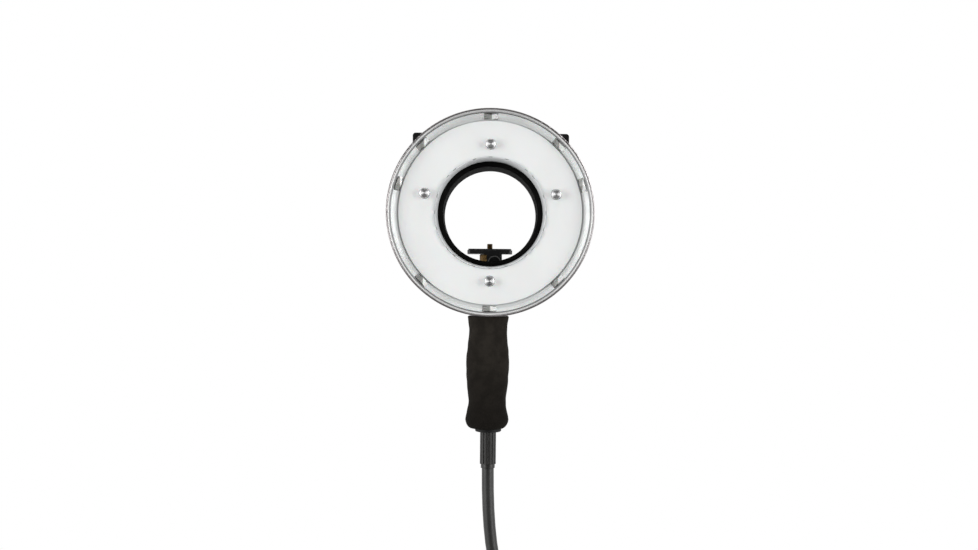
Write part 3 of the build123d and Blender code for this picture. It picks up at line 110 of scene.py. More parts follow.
class CableSettings(bpy.types.PropertyGroup):
    """The lamp cable and the coil that its spare length is wound into."""

    diameter: FloatProperty(
        name="Diameter", description="Outer diameter of the lamp cable", default=12.0 * MM, unit="LENGTH"
    )
    length: FloatProperty(
        name="Length", description="Real length from the handle to the plug", default=4.03, unit="LENGTH"
    )
    lead_drop: FloatProperty(
        name="Lead drop", description="How far it hangs straight", default=112.0 * MM, unit="LENGTH"
    )
    lead_run: FloatProperty(
        name="Lead run", description="Slanted run on to the coil", default=66.0 * MM, unit="LENGTH"
    )
    lead_turn: FloatProperty(
        name="Lead turn",
        description="Turn from the drop to the run",
        default=math.radians(52.0),
        unit="ROTATION",
    )
    inner_radius: FloatProperty(
        name="Inner radius", description="Radius of the tightest turn", default=48.0 * MM, unit="LENGTH"
    )
    gap: FloatProperty(
        name="Gap", description="Gap between turns side by side", default=0.6 * MM, unit="LENGTH"
    )
    turns: IntProperty(name="Turns", description="Turns in each of the two layers", default=4, min=1)
    points_per_half_turn: IntProperty(
        name="Points", description="Points of the route in each half turn", default=12, min=6
    )
    tail: FloatProperty(
        name="Tail", description="Straight end before the plug", default=60.0 * MM, unit="LENGTH"
    )
    colour: FloatVectorProperty(
        name="Colour",
        description="Colour of the rubber sheath",
        default=(0.016, 0.016, 0.015),
        subtype="COLOR",
    )


class StrapSettings(bpy.types.PropertyGroup):
    """The two straps that hold the coil together."""

    width: FloatProperty(name="Width", description="Width of a strap", default=14.0 * MM, unit="LENGTH")
    thickness: FloatProperty(
        name="Thickness", description="Thickness of a strap", default=1.1 * MM, unit="LENGTH"
    )
    corner: FloatProperty(
        name="Corner", description="Radius of a strap's bends", default=5.0 * MM, unit="LENGTH"
    )
    overlap: FloatProperty(
        name="Overlap", description="How far its ends overlap", default=24.0 * MM, unit="LENGTH"
    )
    colour: FloatVectorProperty(
        name="Colour",
        description="Colour of the woven straps",
        default=(0.028, 0.028, 0.030),
        subtype="COLOR",
    )


class GripSettings(bpy.types.PropertyGroup):
    """The foam grip round the handle's core."""

    radii: FloatVectorProperty(
        name="Radii",
        description="Radii at the grip's swells and waists, from its top to its rounded end",
        default=(20.6 * MM, 18.9 * MM, 19.9 * MM, 21.4 * MM, 20.1 * MM, 18.7 * MM, 21.4 * MM),
        size=7,
        unit="LENGTH",
    )
    places: FloatVectorProperty(
        name="Places",
        description="Where along the grip's length those radii lie",
        default=(0.0, 0.11, 0.25, 0.43, 0.62, 0.77, 0.915),
        size=7,
    )
    lean: FloatProperty(
        name="Lean", description="How far its top leans to the left", default=0.9 * MM, unit="LENGTH"
    )
    lean_growth: FloatProperty(
        name="Lean growth", description="How much more its end leans, as a share", default=0.6
    )
    end_rounding: FloatProperty(
        name="End rounding", description="Length of the rounded end", default=9.5 * MM, unit="LENGTH"
    )
    end_drop: FloatProperty(
        name="End drop", description="How far the lower end narrows", default=7.4 * MM, unit="LENGTH"
    )
    top_rounding: FloatProperty(
        name="Top rounding", description="Length of the rounded top", default=1.6 * MM, unit="LENGTH"
    )
    top_drop: FloatProperty(
        name="Top drop", description="How far the top narrows", default=1.4 * MM, unit="LENGTH"
    )
    unevenness: FloatProperty(
        name="Unevenness", description="How far the surface wanders", default=0.22 * MM, unit="LENGTH"
    )
    colour: FloatVectorProperty(
        name="Colour",
        description="Colour of the foam",
        default=(0.0185, 0.0160, 0.0132),
        subtype="COLOR",
    )


class ScrewSettings(bpy.types.PropertyGroup):
    """The brass screw under the platform."""

    wheel_height: FloatProperty(
        name="Wheel height", description="Height of the knurled wheel", default=9.0 * MM, unit="LENGTH"
    )
    wheel_bevel: FloatProperty(
        name="Wheel bevel", description="Bevel of the wheel's edges", default=0.8 * MM, unit="LENGTH"
    )
    neck_radius: FloatProperty(
        name="Neck radius", description="Radius under the thread", default=2.6 * MM, unit="LENGTH"
    )
    knurl_depth: FloatProperty(
        name="Knurl depth", description="Depth of the knurling", default=0.35 * MM, unit="LENGTH"
    )
    knurls: IntProperty(name="Knurls", description="Knurls round the wheel", default=40, min=8)
    thread_radius: FloatProperty(
        name="Thread radius", description="Outer radius of the thread", default=3.175 * MM, unit="LENGTH"
    )
    thread_pitch: FloatProperty(
        name="Thread pitch", description="Rise of the thread in a turn", default=1.27 * MM, unit="LENGTH"
    )
    thread_depth: FloatProperty(
        name="Thread depth", description="Depth of the thread", default=0.55 * MM, unit="LENGTH"
    )
    # The brass is darkened well below bare brass: painted shade, as if the screw stood in shadow.
    colour: FloatVectorProperty(
        name="Colour", description="Colour of the brass", default=(0.13, 0.080, 0.030), subtype="COLOR"
    )


class HeadSettings(bpy.types.PropertyGroup):
    """The finishes of the round head and its frosted ring."""

    opal: FloatVectorProperty(
        name="Frosted ring",
        description="Colour of the frosted ring",
        default=(0.84, 0.85, 0.845),
        subtype="COLOR",
    )
    pan: FloatVectorProperty(
        name="Pan",
        description="Colour of the polished pan",
        default=(0.90, 0.915, 0.91),
        subtype="COLOR",
    )
    black: FloatVectorProperty(
        name="Black",
        description="Colour of the painted shell",
        default=(0.016, 0.016, 0.017),
        subtype="COLOR",
    )


class StageSettings(bpy.types.PropertyGroup):
    """The camera, the lamps and the floor."""

    camera_distance: FloatProperty(
        name="Distance", description="From the camera to the front rim", default=1.300, unit="LENGTH"
    )
    camera_height: FloatProperty(
        name="Height", description="Height of the camera", default=41.5 * MM, unit="LENGTH"
    )
    camera_across: FloatProperty(
        name="Across", description="How far right the camera stands", default=-0.6 * MM, unit="LENGTH"
    )
    focal_length: FloatProperty(
        name="Focal length", description="Focal length in millimetres", default=49.6, unit="CAMERA"
    )
    roll: FloatProperty(
        name="Roll",
        description="Tilt of the camera about its view",
        default=math.radians(-0.55),
        unit="ROTATION",
    )
    floor_drop: FloatProperty(
        name="Floor drop", description="Gap from the part to the floor", default=8.0 * MM, unit="LENGTH"
    )
    floor_radius: FloatProperty(
        name="Floor radius", description="Radius of the floor", default=1.30, unit="LENGTH"
    )
    world_level: FloatProperty(name="World", description="Strength of the even light", default=0.42)
    front_level: FloatProperty(
        name="Front level", description="How bright metal sees the room in front", default=0.09
    )
    left_power: FloatProperty(name="Left lamp", description="Left lamp's power in watts", default=12.36)
    right_power: FloatProperty(
        name="Right lamp", description="Right lamp's power in watts", default=11.845
    )
    top_power: FloatProperty(name="Top lamp", description="Top lamp's power in watts", default=4.0)


class RingFlashSettings(bpy.types.PropertyGroup):
    """All sizes and colours."""

    cable: PointerProperty(type=CableSettings)
    strap: PointerProperty(type=StrapSettings)
    grip: PointerProperty(type=GripSettings)
    screw: PointerProperty(type=ScrewSettings)
    head: PointerProperty(type=HeadSettings)
    stage: PointerProperty(type=StageSettings)


# Meshes


def add_surface(name, points, wrap_rows=False, wrap_columns=False, cap=False, smooth_angle=40.0):
    """A mesh over a grid of points.

    Corner (i, j) of the grid is point i along the rows and j along the columns. A wrapped way joins
    its last line of points to its first. The UV map holds each corner's share of the way along the
    rows and the columns. Caps close the first and last row, and doubles at poles are merged.
    """
    rows, columns = points.shape[:2]
    i, j = np.meshgrid(
        np.arange(rows if wrap_rows else rows - 1),
        np.arange(columns if wrap_columns else columns - 1),
        indexing="ij",
    )
    corner_i = np.stack([i, i + 1, i + 1, i], axis=-1).reshape(-1, 4)
    corner_j = np.stack([j, j, j + 1, j + 1], axis=-1).reshape(-1, 4)
    faces = (corner_i % rows) * columns + corner_j % columns
    loops = faces.tolist()
    if cap:
        loops.append(list(range(columns))[::-1])
        loops.append(list(range((rows - 1) * columns, rows * columns)))
    mesh = bpy.data.meshes.new(name)
    mesh.from_pydata(points.reshape(-1, 3).tolist(), [], loops)
    uv = np.zeros((len(mesh.loops), 2), np.float32)
    uv[: faces.size, 0] = corner_i.ravel() / max(rows - 1, 1)
    uv[: faces.size, 1] = corner_j.ravel() / max(columns - 1, 1)
    mesh.uv_layers.new(name="UVMap").data.foreach_set("uv", uv.ravel())
    shell = bmesh.new()
    shell.from_mesh(mesh)
    bmesh.ops.remove_doubles(shell, verts=shell.verts, dist=MERGE_DISTANCE)
    bmesh.ops.recalc_face_normals(shell, faces=shell.faces)
    shell.to_mesh(mesh)
    shell.free()
    mesh.shade_smooth()
    mesh.set_sharp_from_angle(angle=math.radians(smooth_angle))
    piece = bpy.data.objects.new(name, mesh)
    bpy.context.scene.collection.objects.link(piece)
    return piece


def turned(radii, heights, angles, centre):
    """Points of a turned surface: radius times the cosine and sine of the angle round a vertical axis.

    The radii are one row for each height and one column for each angle.
    """
    x = centre.x + radii * np.cos(angles)
    y = centre.y + radii * np.sin(angles)
    z = np.broadcast_to(heights[:, None], radii.shape)
    return np.stack([x, y, z], axis=-1)


def smooth_through(places, values, at):
    """A smooth curve through values: between two places it is the cubic whose slopes there are the
    average slopes of the neighbouring stretches."""
    slopes = np.gradient(values, places)
    left = np.clip(np.searchsorted(places, at, side="right") - 1, 0, len(places) - 2)
    width = places[left + 1] - places[left]
    t = (at - places[left]) / width
    return (
        (2 * t**3 - 3 * t**2 + 1) * values[left]
        + (t**3 - 2 * t**2 + t) * width * slopes[left]
        + (3 * t**2 - 2 * t**3) * values[left + 1]
        + (t**3 - t**2) * width * slopes[left + 1]
    )


def triangle_wave(phase):
    """A wave that rises straight from 0 to 1 and falls back in each whole step of the phase."""
    return 1 - np.abs(2 * (phase % 1.0) - 1)


# The cable and its straps


def coil_step(cable):
    """How much tighter each half turn is than the last."""
    return (cable.diameter + cable.gap) / 2


def coil_outer_radius(cable):
    """The radius of the coil's widest turn."""
    return cable.inner_radius + 2 * cable.turns * coil_step(cable)


def lead_route(cable):
    """The cable's points down from the handle, round its bend and along its run to the coil."""
    start = np.array([GRIP_MIDDLE.x, GRIP_MIDDLE.y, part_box("strain_relief")[0].z])
    way = np.array([math.sin(cable.lead_turn), 0.0, -math.cos(cable.lead_turn)])
    corner = start - [0.0, 0.0, cable.lead_drop]
    coil_start = corner + way * cable.lead_run
    return start, corner, coil_start, coil_start + way * cable.diameter


def coil_centre(cable):
    """The middle of the coil's widest turn, square to the end of the lead."""
    touch = lead_route(cable)[-1]
    turn = cable.lead_turn
    return touch - coil_outer_radius(cable) * np.array([math.cos(turn), 0.0, math.sin(turn)])


def coil_route(cable):
    """The coil's points, from where the lead meets it to the point where its tail leaves it.

    A stretch of the widest circle comes down to level. Each half turn then goes across by a share of
    half of one less the cosine, and down or up by the sine, of an angle that runs from 0 to 180
    degrees. They get tighter up to the half turn that climbs to the second layer, then wider.
    """
    outer = coil_outer_radius(cable)
    centre = coil_centre(cable)
    half_turns = 2 * cable.turns
    spacing = math.pi / cable.points_per_half_turn
    angles = np.arange(cable.lead_turn, spacing / 2, -spacing)
    circle = np.stack([np.cos(angles), np.zeros_like(angles), np.sin(angles)], axis=-1)
    stretches = [centre + outer * circle]
    sweep = np.arange(cable.points_per_half_turn)[:, None] * spacing
    point = centre + [outer, 0.0, 0.0]
    for index in range(1, 2 * half_turns + 1):
        radius = outer - (half_turns - abs(half_turns - index)) * coil_step(cable)
        side = -1 if index % 2 else 1
        climb = cable.diameter + cable.gap if index == half_turns else 0.0
        across = np.array([side * 2 * radius, climb, 0.0])
        rise = np.array([0.0, 0.0, side * np.linalg.norm(across) / 2])
        stretches.append(point + across * (1 - np.cos(sweep)) / 2 + rise * np.sin(sweep))
        point = point + across
    return np.concatenate([*stretches, point[None]])


def cable_route(cable):
    """The whole route: the lead, the coil and the straight tail to the plug."""
    start, corner, coil_start, _ = lead_route(cable)
    coil = coil_route(cable)
    tail_start = coil[-1] - [0.0, 0.0, cable.diameter]
    tail_end = tail_start - [0.0, 0.0, cable.tail]
    return np.concatenate([[start, corner, coil_start], coil, [tail_start, tail_end]])


class RINGFLASH_OT_lamp_cable(bpy.types.Operator):
    """Add the lamp cable: one smooth curve from the handle through its coil to the plug"""

    bl_idname = "ringflash.lamp_cable"
    bl_label = "Lamp Cable"

    def execute(self, context):
        cable = context.scene.ring_flash.cable
        route = cable_route(cable)
        curve = bpy.data.curves.new("lamp_cable", "CURVE")
        curve.dimensions = "3D"
        spline = curve.splines.new("NURBS")
        spline.points.add(len(route) - 1)
        spline.points.foreach_set("co", np.column_stack([route, np.ones(len(route))]).ravel())
        spline.order_u = 3
        spline.use_endpoint_u = True
        spline.resolution_u = 10
        spline.use_smooth = True
        curve.bevel_depth = cable.diameter / 2
        curve.bevel_resolution = 8
        curve.use_fill_caps = True
        piece = bpy.data.objects.new("lamp_cable", curve)
        context.scene.collection.objects.link(piece)
        curve.materials.append(cable_rubber(cable))
        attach(piece, "head")
        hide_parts("cable", "cable_coil", "cable_tail")
        return {"FINISHED"}


def loop_samples(wide, high, corner, overlap, count):
    """Points and outward directions round a rounded rectangle, and on over its start by an overlap.

    The outline is each corner's centre plus the corner radius times the cosine and sine of the
    direction's angle. It is walked twice from the middle of its first side, and sampled evenly.
    """
    corners, corner_points, nudge = 8, 9, 1e-6
    quarter = np.linspace(0, np.pi / 2, corner_points)
    angle = np.concatenate([quarter + index * np.pi / 2 for index in range(corners)])
    middle = angle - nudge * np.sign(np.tile(np.linspace(-1, 1, corner_points), corners))
    outward = np.stack([np.cos(angle), np.sin(angle)], axis=-1)
    signs = np.sign(np.stack([np.cos(middle), np.sin(middle)], axis=-1))
    outline = signs * [wide / 2 - corner, high / 2 - corner] + corner * outward
    outline = np.concatenate([[[wide / 2, 0.0]], outline])
    outward = np.concatenate([[[1.0, 0.0]], outward])
    walked = np.concatenate([[0.0], np.cumsum(np.linalg.norm(np.diff(outline, axis=0), axis=1))])
    once = 2 * (wide + high) - 8 * corner + 2 * np.pi * corner
    at = np.linspace(0, once + overlap, count)
    points, directions = (
        np.stack([np.interp(at, walked, line[:, k]) for k in range(2)], axis=-1)
        for line in (outline, outward)
    )
    directions /= np.linalg.norm(directions, axis=1, keepdims=True)
    return at, once, points, directions


def squared_off(wave, power):
    """A wave whose size is raised to a power and whose sign is kept."""
    return np.sign(wave) * np.abs(wave) ** power


def add_strap(name, strap, centre, wide, high):
    """One strap: a flat section carried round the bundle, lifted by its own thickness where its end
    lies over its start."""
    rows, columns, clearance = 260, 28, 1.05
    at, once, points, directions = loop_samples(wide, high, strap.corner, strap.overlap, rows)
    ramp = np.clip((at - once) / strap.corner + 1, 0, 1)
    lift = strap.thickness * clearance * ramp**2 * (3 - 2 * ramp)
    around = np.linspace(0, 2 * np.pi, columns, endpoint=False)
    across = strap.width / 2 * squared_off(np.cos(around), 0.35)
    out = strap.thickness / 2 * (1 + squared_off(np.sin(around), 0.6))
    reach = lift[:, None] + out[None, :]
    path = points[:, None, :] + directions[:, None, :] * reach[..., None]
    x = np.broadcast_to(centre[0] + across, reach.shape)
    y = centre[1] - path[..., 0]
    z = centre[2] + path[..., 1]
    points = np.stack([x, y, z], axis=-1)
    return add_surface(name, points, wrap_columns=True, cap=True, smooth_angle=50.0)


class RINGFLASH_OT_coil_straps(bpy.types.Operator):
    """Add the two woven straps round the coil, at its top and its bottom"""

    bl_idname = "ringflash.coil_straps"
    bl_label = "Coil Straps"

    def execute(self, context):
        cable = context.scene.ring_flash.cable
        strap = context.scene.ring_flash.strap
        slack = 0.1 * MM
        step = coil_step(cable)
        centre = coil_centre(cable) + [0.0, coil_step(cable), 0.0]
        wide = 2 * cable.diameter + cable.gap + 2 * slack
        finish = strap_fabric(strap)
        # The coil's lower half is one step narrower, and off its centre by as much.
        for name, side, narrower in (("coil_strap_top", 1, 0.0), ("coil_strap_bottom", -1, step)):
            inner = cable.inner_radius + narrower - cable.diameter / 2
            outer = coil_outer_radius(cable) - narrower + cable.diameter / 2 + slack
            near = math.sqrt(inner**2 - (strap.width / 2 + narrower) ** 2) - slack
            middle = centre + [0.0, 0.0, side * (near + outer) / 2]
            piece = add_strap(name, strap, middle, wide, outer - near)
            piece.data.materials.append(finish)
            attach(piece, "head")
            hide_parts("coil_ties")
        return {"FINISHED"}


# The grip and the brass screw


def rounded_drop(depth, into):
    """How far a quarter-round end has dropped: its depth times one less the root of one less the
    square of the share of the way into it."""
    return depth * (1 - np.sqrt(1 - np.clip(into, 0, 1) ** 2))


class RINGFLASH_OT_foam_grip(bpy.types.Operator):
    """Add the soft foam grip with its swells, its waists and its rounded end"""

    bl_idname = "ringflash.foam_grip"
    bl_label = "Foam Grip"

    def execute(self, context):
        grip = context.scene.ring_flash.grip
        rows, columns, bore_rows, face_rows = 200, 144, 40, 3
        calm_end, bore_gap = 1 / 12, 0.05 * MM
        length = GRIP_HIGH.z - GRIP_LOW.z
        share = np.linspace(0, 1, rows)
        places = np.array(grip.places)
        side = smooth_through(places, np.array(grip.radii), np.minimum(share, places[-1]))
        side -= rounded_drop(grip.end_drop, (share - 1) * length / grip.end_rounding + 1)
        side -= rounded_drop(grip.top_drop, 1 - share * length / grip.top_rounding)
        angles = np.linspace(0, 2 * np.pi, columns, endpoint=False)
        # Three slow waves that wind round the grip, calm at its ends.
        wander = sum(
            size * np.sin(lobes * angles[None, :] + climb * share[:, None] + start)
            for size, lobes, climb, start in ((1.0, 2, 23, 0.0), (1.0, 3, -41, 1.3), (0.6, 7, 67, 0.4))
        )
        calm = np.clip(np.minimum(share, 1 - share) / calm_end, 0, 1)[:, None]
        leaning = grip.lean * (1 + grip.lean_growth * share[:, None])
        outer = side[:, None] + grip.unevenness * wander * calm / 2 - leaning * np.cos(angles)
        inner = np.full(columns, box_half("handle_core").x + bore_gap)
        low_face = np.linspace(outer[-1], inner, face_rows + 2)[1:-1]
        top_face = np.linspace(inner, outer[0], face_rows + 2)[1:-1]
        radii = np.concatenate([outer, low_face, np.tile(inner, (bore_rows, 1)), top_face])
        heights = np.concatenate(
            [
                GRIP_HIGH.z - share * length,
                np.full(face_rows, GRIP_LOW.z),
                np.linspace(GRIP_LOW.z, GRIP_HIGH.z, bore_rows),
                np.full(face_rows, GRIP_HIGH.z),
            ]
        )
        points = turned(radii, heights, angles, GRIP_MIDDLE)
        piece = add_surface("foam_grip", points, wrap_rows=True, wrap_columns=True)
        piece.data.materials.append(grip_foam(grip))
        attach(piece, "head")
        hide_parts("handle_grip")
        return {"FINISHED"}


class RINGFLASH_OT_brass_screw(bpy.types.Operator):
    """Add the brass screw under the platform, with its knurled wheel and its thread"""

    bl_idname = "ringflash.brass_screw"
    bl_label = "Brass Screw"

    def execute(self, context):
        screw = context.scene.ring_flash.screw
        wheel_radius = box_half("camera_screw").x
        wheel_flat = wheel_radius - screw.wheel_bevel
        wheel_top = SCREW_LOW.z + screw.wheel_height
        rim_low, rim_top = SCREW_LOW.z + screw.wheel_bevel, wheel_top - screw.wheel_bevel
        pad_gap, thread_end = 0.3 * MM, 0.6 * MM
        thread_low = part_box("platform_pad")[1].z + pad_gap
        neck, thread = screw.neck_radius, screw.thread_radius
        # Rows, first and last height, first and last radius, and whether they are knurled or threaded.
        sections = (
            (4, SCREW_LOW.z, SCREW_LOW.z, 0, wheel_flat, 0, 0),
            (44, rim_low, rim_top, wheel_radius, wheel_radius, 1, 0),
            (4, wheel_top, wheel_top, wheel_flat, neck, 0, 0),
            (8, wheel_top, thread_low, neck, neck, 0, 0),
            (44, thread_low, SCREW_HIGH.z, thread, thread, 0, 1),
            (3, SCREW_HIGH.z, SCREW_HIGH.z, neck, 0, 0, 0),
        )
        heights, base, knurled, threaded = (
            np.concatenate([np.linspace(row[first], row[last], row[0]) for row in sections])
            for first, last in ((1, 2), (3, 4), (5, 5), (6, 6))
        )
        angles = np.linspace(0, 2 * np.pi, 6 * screw.knurls, endpoint=False)
        turn = angles[None, :] / (2 * np.pi)
        pitch = 2 * np.pi * wheel_radius / screw.knurls
        rise = (heights - SCREW_LOW.z)[:, None] / pitch
        around = screw.knurls * turn
        diamond = np.minimum(triangle_wave(around + rise), triangle_wave(around - rise))
        helix = triangle_wave((heights - thread_low)[:, None] / screw.thread_pitch - turn)
        run_out = np.clip((SCREW_HIGH.z - heights) / thread_end, 0, 1)[:, None]
        radii = base[:, None] - screw.knurl_depth * knurled[:, None] * (1 - diamond)
        radii = radii - screw.thread_depth * threaded[:, None] * (1 - helix * run_out)
        points = turned(np.maximum(radii, 0), heights, angles, box_middle("camera_screw"))
        piece = add_surface("brass_screw", points, wrap_columns=True, smooth_angle=30.0)
        piece.data.materials.append(screw_brass(screw))
        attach(piece, "camera_fixing")
        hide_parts("camera_screw")
        return {"FINISHED"}


# Effects that several finishes share


def feed(tree, value, socket):
    """Gives a socket its value: a link from another socket, or a plain value."""
    if isinstance(value, bpy.types.NodeSocket):
        tree.links.new(value, socket)
    else:
        socket.default_value = value


def add_node(tree, kind, settings=None, **values):
    """A shader node of a kind with its settings, and with values or links on its named inputs."""
    node = tree.nodes.new(f"ShaderNode{kind}")
    for name, value in (settings or {}).items():
        setattr(node, name, value)
    for name, value in values.items():
        feed(tree, value, node.inputs[name.replace("_", " ")])
    return node


def maths(tree, operation, *values, clamp=False):
    """A Math node over sockets or plain numbers, and its result."""
    node = add_node(tree, "Math", {"operation": operation, "use_clamp": clamp})
    for value, socket in zip(values, node.inputs):
        feed(tree, value, socket)
    return node.outputs["Value"]


def vector_maths(tree, operation, *values):
    """A Vector Math node over sockets or plain vectors, and its results, Vector and Value."""
    node = add_node(tree, "VectorMath", {"operation": operation})
    for value, socket in zip(values, node.inputs):
        feed(tree, value, socket)
    return node.outputs


def blend_colours(tree, share, first, second):
    """A Mix node between two colours, by a share from 0 to 1, and its result."""
    node = add_node(tree, "Mix", {"data_type": "RGBA"})
    values = {"Factor_Float": share, "A_Color": first, "B_Color": second}
    for socket in node.inputs:
        if socket.identifier in values:
            feed(tree, values[socket.identifier], socket)
    return next(result for result in node.outputs if result.identifier == "Result_Color")


def ramp_between(tree, value, low, high):
    """A Map Range node that turns low into 0 and high into 1, smoothly."""
    smooth = {"interpolation_type": "SMOOTHSTEP"}
    return add_node(tree, "MapRange", smooth, Value=value, From_Min=low, From_Max=high).outputs["Result"]


def axes(tree, vector):
    """The X, Y and Z of a vector."""
    return add_node(tree, "SeparateXYZ", Vector=vector).outputs


def noise(tree, vector, scale, detail):
    """A Noise Texture and its value."""
    return add_node(tree, "TexNoise", Vector=vector, Scale=scale, Detail=detail).outputs["Fac"]


def from_middle(tree, place, across=PORT_CENTRE.x, up=PORT_CENTRE.z):
    """How far a place lies from an axis along Y, and in which direction. The axis is the port's
    unless another is given."""
    away = vector_maths(tree, "MULTIPLY_ADD", place, (1.0, 0.0, 1.0), (-across, 0.0, -up))["Vector"]
    return vector_maths(tree, "LENGTH", away)["Value"], away


def from_nearest(tree, place, circle, angles):
    """The direction from the nearest of the middles that stand round the port on a circle."""
    nearest, outward = 1.0, WHITE
    for angle in angles:
        across = PORT_CENTRE.x + circle * math.cos(math.radians(angle))
        up = PORT_CENTRE.z + circle * math.sin(math.radians(angle))
        length, away = from_middle(tree, place, across, up)
        outward = blend_colours(tree, maths(tree, "LESS_THAN", length, nearest), outward, away)
        nearest = maths(tree, "MINIMUM", length, nearest)
    return outward


def shared_group(name, output, **inputs):
    """Turns a function that fills a shader node group into one that returns the group of that name,
    made on its first use.

    The filling function gets the group and its inputs' sockets, and returns the output's value. An
    input is name to default: three numbers are a vector, four a colour and one a value.
    """
    kinds = {3: "NodeSocketVector", 4: "NodeSocketColor"}

    def wrap(fill):
        def group():
            tree = bpy.data.node_groups.get(name)
            if tree:
                return tree
            tree = bpy.data.node_groups.new(name, "ShaderNodeTree")
            for label, default in {"Vector": ANYWHERE, **inputs}.items():
                kind = kinds.get(np.size(default), "NodeSocketFloat")
                label = label.replace("_", " ")
                socket = tree.interface.new_socket(label, in_out="INPUT", socket_type=kind)
                socket.default_value = default
            kind = "NodeSocketColor" if output == "Color" else "NodeSocketFloat"
            tree.interface.new_socket(output, in_out="OUTPUT", socket_type=kind)
            result = fill(tree, tree.nodes.new("NodeGroupInput").outputs)
            tree.links.new(result, tree.nodes.new("NodeGroupOutput").inputs[output])
            return tree

        return group

    return wrap


@shared_group("Uneven Tone", "Color", Color=WHITE, Second_Color=WHITE, Patch_Size=20 * MM)
def uneven_tone(tree, source):
    """Two colours that mix in soft patches of a size."""
    scale = maths(tree, "DIVIDE", 1.0, source["Patch Size"])
    share = ramp_between(tree, noise(tree, source["Vector"], scale, detail=5.0), 0.35, 0.70)
    return blend_colours(tree, share, source["Color"], source["Second Color"])


@shared_group("Handled Gloss", "Roughness", Smooth=0.3, Rough=0.5, Patch_Size=20 * MM)
def handled_gloss(tree, source):
    """A roughness that wanders between two values, as handling leaves it, with a few fine wipes."""
    scale = maths(tree, "DIVIDE", 1.0, source["Patch Size"])
    wide = noise(tree, source["Vector"], scale, detail=4.0)
    fine = noise(tree, source["Vector"], maths(tree, "MULTIPLY", scale, 9.0), detail=2.0)
    wipes = maths(tree, "MULTIPLY", ramp_between(tree, fine, 0.35, 0.65), 0.3)
    share = maths(tree, "MULTIPLY_ADD", wide, 0.7, wipes, clamp=True)
    reach = maths(tree, "SUBTRACT", source["Rough"], source["Smooth"])
    return maths(tree, "ADD", source["Smooth"], maths(tree, "MULTIPLY", share, reach))


@shared_group("Moulded Grain", "Height", Grain_Size=0.6 * MM)
def moulded_grain(tree, source):
    """A fine pebbled height, as moulded plastic and crackle paint have."""
    scale = maths(tree, "DIVIDE", 1.0, source["Grain Size"])
    rounded = {"feature": "SMOOTH_F1"}
    pebbles = add_node(tree, "TexVoronoi", rounded, Vector=source["Vector"], Scale=scale)
    speck = noise(tree, source["Vector"], maths(tree, "MULTIPLY", scale, 2.3), detail=2.0)
    return maths(tree, "ADD", pebbles.outputs["Distance"], maths(tree, "MULTIPLY", speck, 0.5))


@shared_group("Worn Edges", "Mask", Edge_Width=0.4 * MM, Amount=0.5)
def worn_edges(tree, source):
    """A mask that is 1 on edges, where the rounded normal turns away from the true one, broken up by
    noise."""
    rounded = add_node(tree, "Bevel", Radius=source["Edge Width"]).outputs["Normal"]
    true = add_node(tree, "NewGeometry").outputs["Normal"]
    same = vector_maths(tree, "DOT_PRODUCT", rounded, true)["Value"]
    turned_away = ramp_between(tree, maths(tree, "SUBTRACT", 1.0, same), 0.02, 0.25)
    broken = ramp_between(tree, noise(tree, source["Vector"], 160.0, detail=4.0), 0.42, 0.62)
    mask = maths(tree, "MULTIPLY", turned_away, broken)
    return maths(tree, "MULTIPLY", mask, source["Amount"], clamp=True)


@shared_group("Settled Dust", "Mask", Amount=0.3)
def settled_dust(tree, source):
    """A mask of thin dust on faces that look up."""
    normal = add_node(tree, "NewGeometry").outputs["Normal"]
    upward = ramp_between(tree, axes(tree, normal)["Z"], 0.35, 1.0)
    patches = ramp_between(tree, noise(tree, source["Vector"], 240.0, detail=5.0), 0.40, 0.75)
    mask = maths(tree, "MULTIPLY", upward, patches)
    return maths(tree, "MULTIPLY", mask, source["Amount"], clamp=True)


@shared_group("Turned Lines", "Height", Pitch=0.3 * MM)
def turned_lines(tree, source):
    """Fine rings round the Y axis of the vector, as a lathe leaves them."""
    parts = axes(tree, source["Vector"])
    squares = [maths(tree, "POWER", parts[way], 2.0) for way in ("X", "Z")]
    radius = maths(tree, "SQRT", maths(tree, "ADD", *squares))
    rings = maths(tree, "DIVIDE", radius, source["Pitch"])
    return noise(tree, add_node(tree, "CombineXYZ", X=rings).outputs["Vector"], 1.0, detail=2.0)


def scaled(colour, factor):
    """A colour with each of its parts multiplied by a factor."""
    return [factor * part for part in colour]


def grey(level):
    """A plain grey of a level."""
    return (level, level, level)


